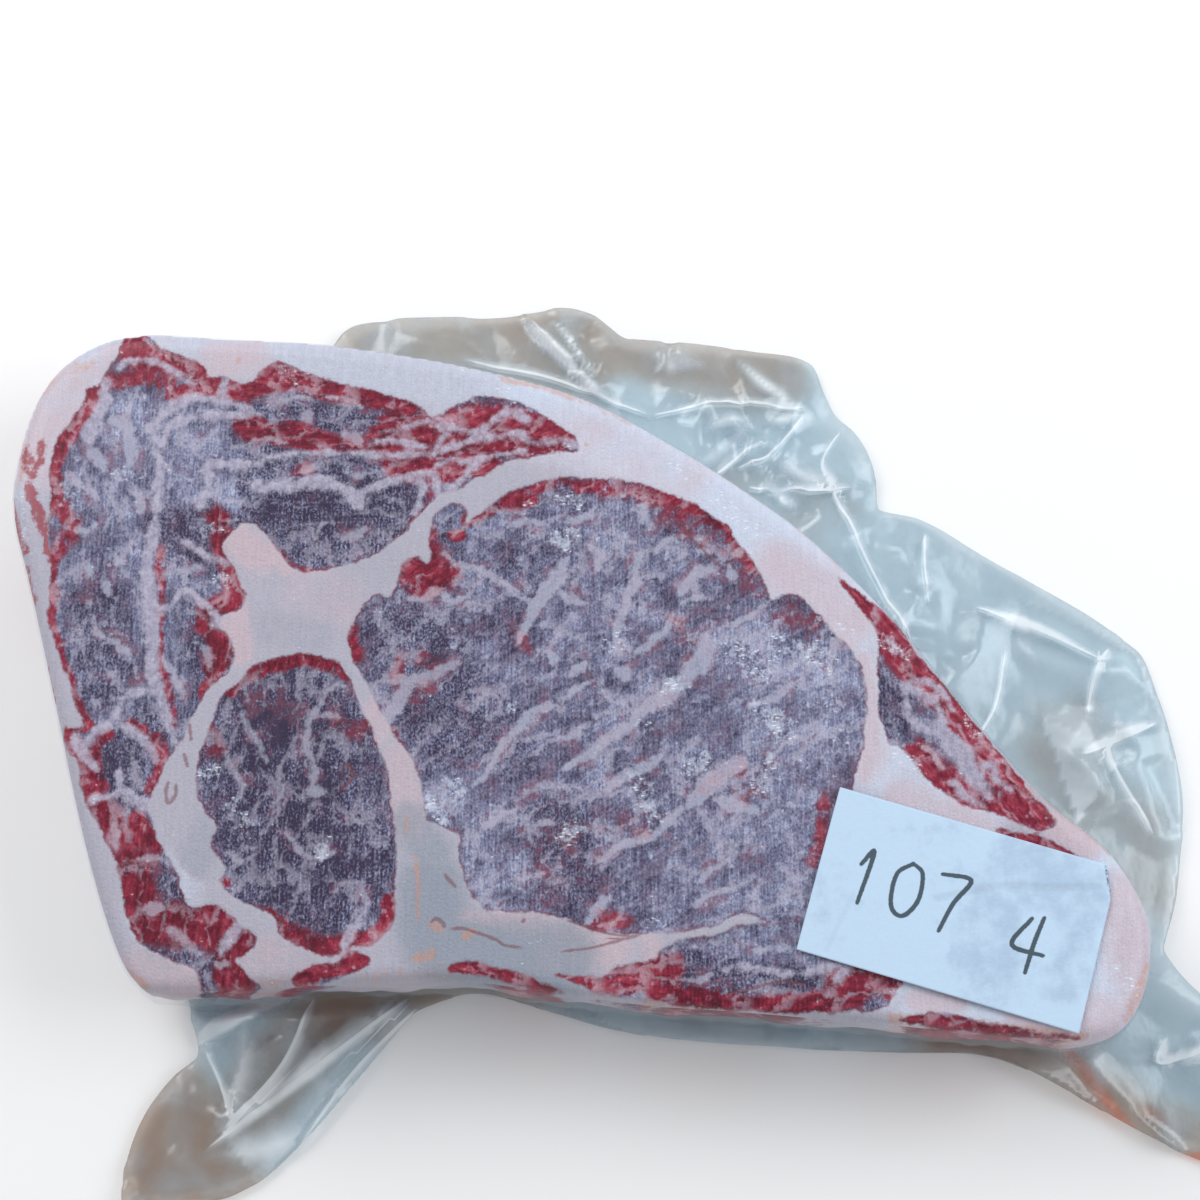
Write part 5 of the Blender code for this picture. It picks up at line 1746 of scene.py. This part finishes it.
def facet_tones(points, knots, rng):
    """A chance value between 0 and 1 for each of the facets between the knots."""
    corners, triangles, _ = facets_between(knots)
    tones = np.zeros(len(points))
    for triangle, tone in zip(triangles, rng.uniform(0, 1, len(triangles)) ** 2):
        inside = np.ones(len(points), dtype=bool)
        for start, end in zip(triangle, (*triangle[1:], triangle[0])):
            run, offset = corners[end] - corners[start], points - corners[start]
            inside &= run[0] * offset[:, 1] - run[1] * offset[:, 0] >= 0
        tones[inside] = tone
    return tones


class BEEF_OT_loose_film(bpy.types.Operator):
    """Make the bag's loose film: flat under the slice, folded and creased beyond it"""

    bl_idname = "beef.loose_film"
    bl_label = "Loose film"

    def execute(self, context):
        size = sizes()
        loop = even_loop(FILM_EDGE, 1.5)
        coarse = FLAP_SPLIT * size["flap_cell"]
        film = add_grid("loose_film", loop.min(axis=0) - coarse, loop.max(axis=0) + coarse, coarse)
        self.refine(film, SLAB_LOOP)
        trim_to(film, loop)
        points = points_of(film)[:, :2]
        store(film, "pattern", np.column_stack([points, 0 * points[:, 0]]))
        store(film, "tints_and_gleams", np.column_stack([
            painted(points, WARM_FILM), painted(points, DARK_FILM), gleams(points, FILM_LIGHTS)]))
        store(film, "blood", painted(points, FILM_BLOOD))
        store(film, "creases", line_side(points, FILM_CREASE_HIGHLIGHTS, 4.0))
        move_points(film, placed(points, self.upper_height(points) + size["film"]))
        give_thickness(film, size["film"] * MM)
        self.part_layers(film)
        finish_piece(film, film_material("loose_film", False), "clear_film", BAG_NODE)
        return {"FINISHED"}

    @staticmethod
    def refine(film, slab):
        """Splits the cells outside the slice, where the film is creased."""
        bpy.context.tool_settings.mesh_select_mode = (False, False, True)
        select_faces(film, depth_inside(face_centres(film)[:, :2], slab) < 4)
        with editing():
            bpy.ops.mesh.subdivide(number_cuts=FLAP_SPLIT - 1)

    @staticmethod
    def upper_height(points):
        """Height of the upper layer: flat under the slice, folded out beyond it."""
        outside = -depth_inside(points, SLAB_LOOP, reach=60.0)
        climb = WALL_CLIMB * np.exp(-np.clip(outside, 0, None) / WALL_CLIMB_REACH)
        height = LEAST_RISE + crumpled(points, *UPPER_PEAKS, CREASE_SEED) + climb
        return np.clip(height, 0, FLAP_TOP - 1.0) * ramp(outside, 2.0, 5.0)

    @staticmethod
    def part_layers(film):
        """Lets the lower layer sag away from the upper one, down to the floor."""
        points = points_of(film)
        drawn = points[:, :2] / MM - DATUM
        under = triples(film.data.vertices, "normal")[:, 2] < 0
        inner = ramp(depth_inside(drawn, even_loop(FILM_EDGE, 3.0)), 0.3, 4.0)
        height = points[:, 2] / MM
        sagging = crumpled(drawn, *LOWER_PEAKS, CREASE_SEED + 1)
        lowered = np.clip(0.3 * height + 0.3 * sagging - 0.5, 0, 0.8 * height)
        height = np.where(under, height + (lowered - height) * inner, height)
        points[:, 2] = np.clip(height, 0, None) * MM
        move_points(film, points)


class BEEF_OT_stage(bpy.types.Operator):
    """Make the floor, the lights and the camera"""

    bl_idname = "beef.stage"
    bl_label = "Stage"

    def execute(self, context):
        stage = context.scene.beef_stage
        self.floor()
        centre = Vector((*(DATUM * MM), FACE_HEIGHT * MM))
        self.softbox("key_light", centre, *KEY_LIGHT, stage.key_power)
        self.softbox("fill_light", centre, *FILL_LIGHT, stage.fill_power)
        self.camera(stage, centre)
        world = context.scene.world or bpy.data.worlds.new("studio")
        context.scene.world = world
        world.use_nodes = True
        background = world.node_tree.nodes["Background"]
        background.inputs["Color"].default_value = SKY_COLOUR
        background.inputs["Strength"].default_value = stage.sky
        context.scene.view_settings.view_transform = "Standard"
        return {"FINISHED"}

    @staticmethod
    def floor():
        """A pale floor just under the film."""
        bpy.ops.object.select_all(action="DESELECT")
        bpy.ops.mesh.primitive_plane_add(size=FLOOR_SIDE, location=(0, 0, -FLOOR_DROP))
        floor = bpy.context.object
        floor.name = "floor"
        bpy.ops.object.transform_apply()
        floor.data.materials.append(floor_material())

    @staticmethod
    def softbox(name, centre, direction, size, colour, power):
        """A square area light that faces the slice."""
        offset = Vector(direction)
        bpy.ops.object.light_add(type="AREA", location=centre + offset)
        light = bpy.context.object
        light.name = name
        light.data.size = size
        light.data.energy = power
        light.data.color = colour
        light.rotation_mode = "QUATERNION"
        light.rotation_quaternion = offset.to_track_quat("Z", "Y")

    @staticmethod
    def camera(stage, centre):
        """The camera, looking steeply down on the face from the near side."""
        back = Vector((0, -math.cos(stage.elevation), math.sin(stage.elevation)))
        bpy.ops.object.camera_add(location=centre + back * stage.distance)
        camera = bpy.context.object
        camera.name = "camera"
        camera.data.lens = stage.lens
        camera.data.clip_start = 0.01
        camera.rotation_mode = "QUATERNION"
        camera.rotation_quaternion = (-back).to_track_quat("-Z", "Y")
        bpy.context.scene.camera = camera


class BEEF_PT_panel(bpy.types.Panel):
    """The steps of the vacuum-packed slice, in order"""

    bl_idname = "BEEF_PT_panel"
    bl_label = "Vacuum-packed beef"
    bl_space_type = "VIEW_3D"
    bl_region_type = "UI"
    bl_category = "Beef"

    def draw(self, context):
        for step in STEPS:
            self.layout.operator(step.bl_idname)
        for group in ("beef_sizes", "beef_colours", "beef_stage"):
            settings = getattr(context.scene, group)
            column = self.layout.column()
            for name in settings.bl_rna.properties.keys():
                if name not in ("name", "rna_type"):
                    column.prop(settings, name)


STEPS = (
    BEEF_OT_cut_face,
    BEEF_OT_slab_wall,
    BEEF_OT_paper_tag,
    BEEF_OT_clinging_film,
    BEEF_OT_loose_film,
    BEEF_OT_stage,
)
CLASSES = (BeefSizes, BeefColours, BeefStage, *STEPS, BEEF_PT_panel)


def register():
    """Registers the classes and puts their settings on the scene."""
    for made in CLASSES:
        bpy.utils.register_class(made)
    bpy.types.Scene.beef_sizes = bpy.props.PointerProperty(type=BeefSizes)
    bpy.types.Scene.beef_colours = bpy.props.PointerProperty(type=BeefColours)
    bpy.types.Scene.beef_stage = bpy.props.PointerProperty(type=BeefStage)


def unregister():
    """Takes the settings and the classes away again."""
    del bpy.types.Scene.beef_stage
    del bpy.types.Scene.beef_colours
    del bpy.types.Scene.beef_sizes
    for made in reversed(CLASSES):
        bpy.utils.unregister_class(made)


def main():
    """Registers the add-on and runs its steps."""
    register()
    bpy.ops.beef.cut_face()
    bpy.ops.beef.slab_wall()
    bpy.ops.beef.paper_tag()
    bpy.ops.beef.clinging_film()
    bpy.ops.beef.loose_film()
    bpy.ops.beef.stage()


if __name__ == "__main__":
    main()
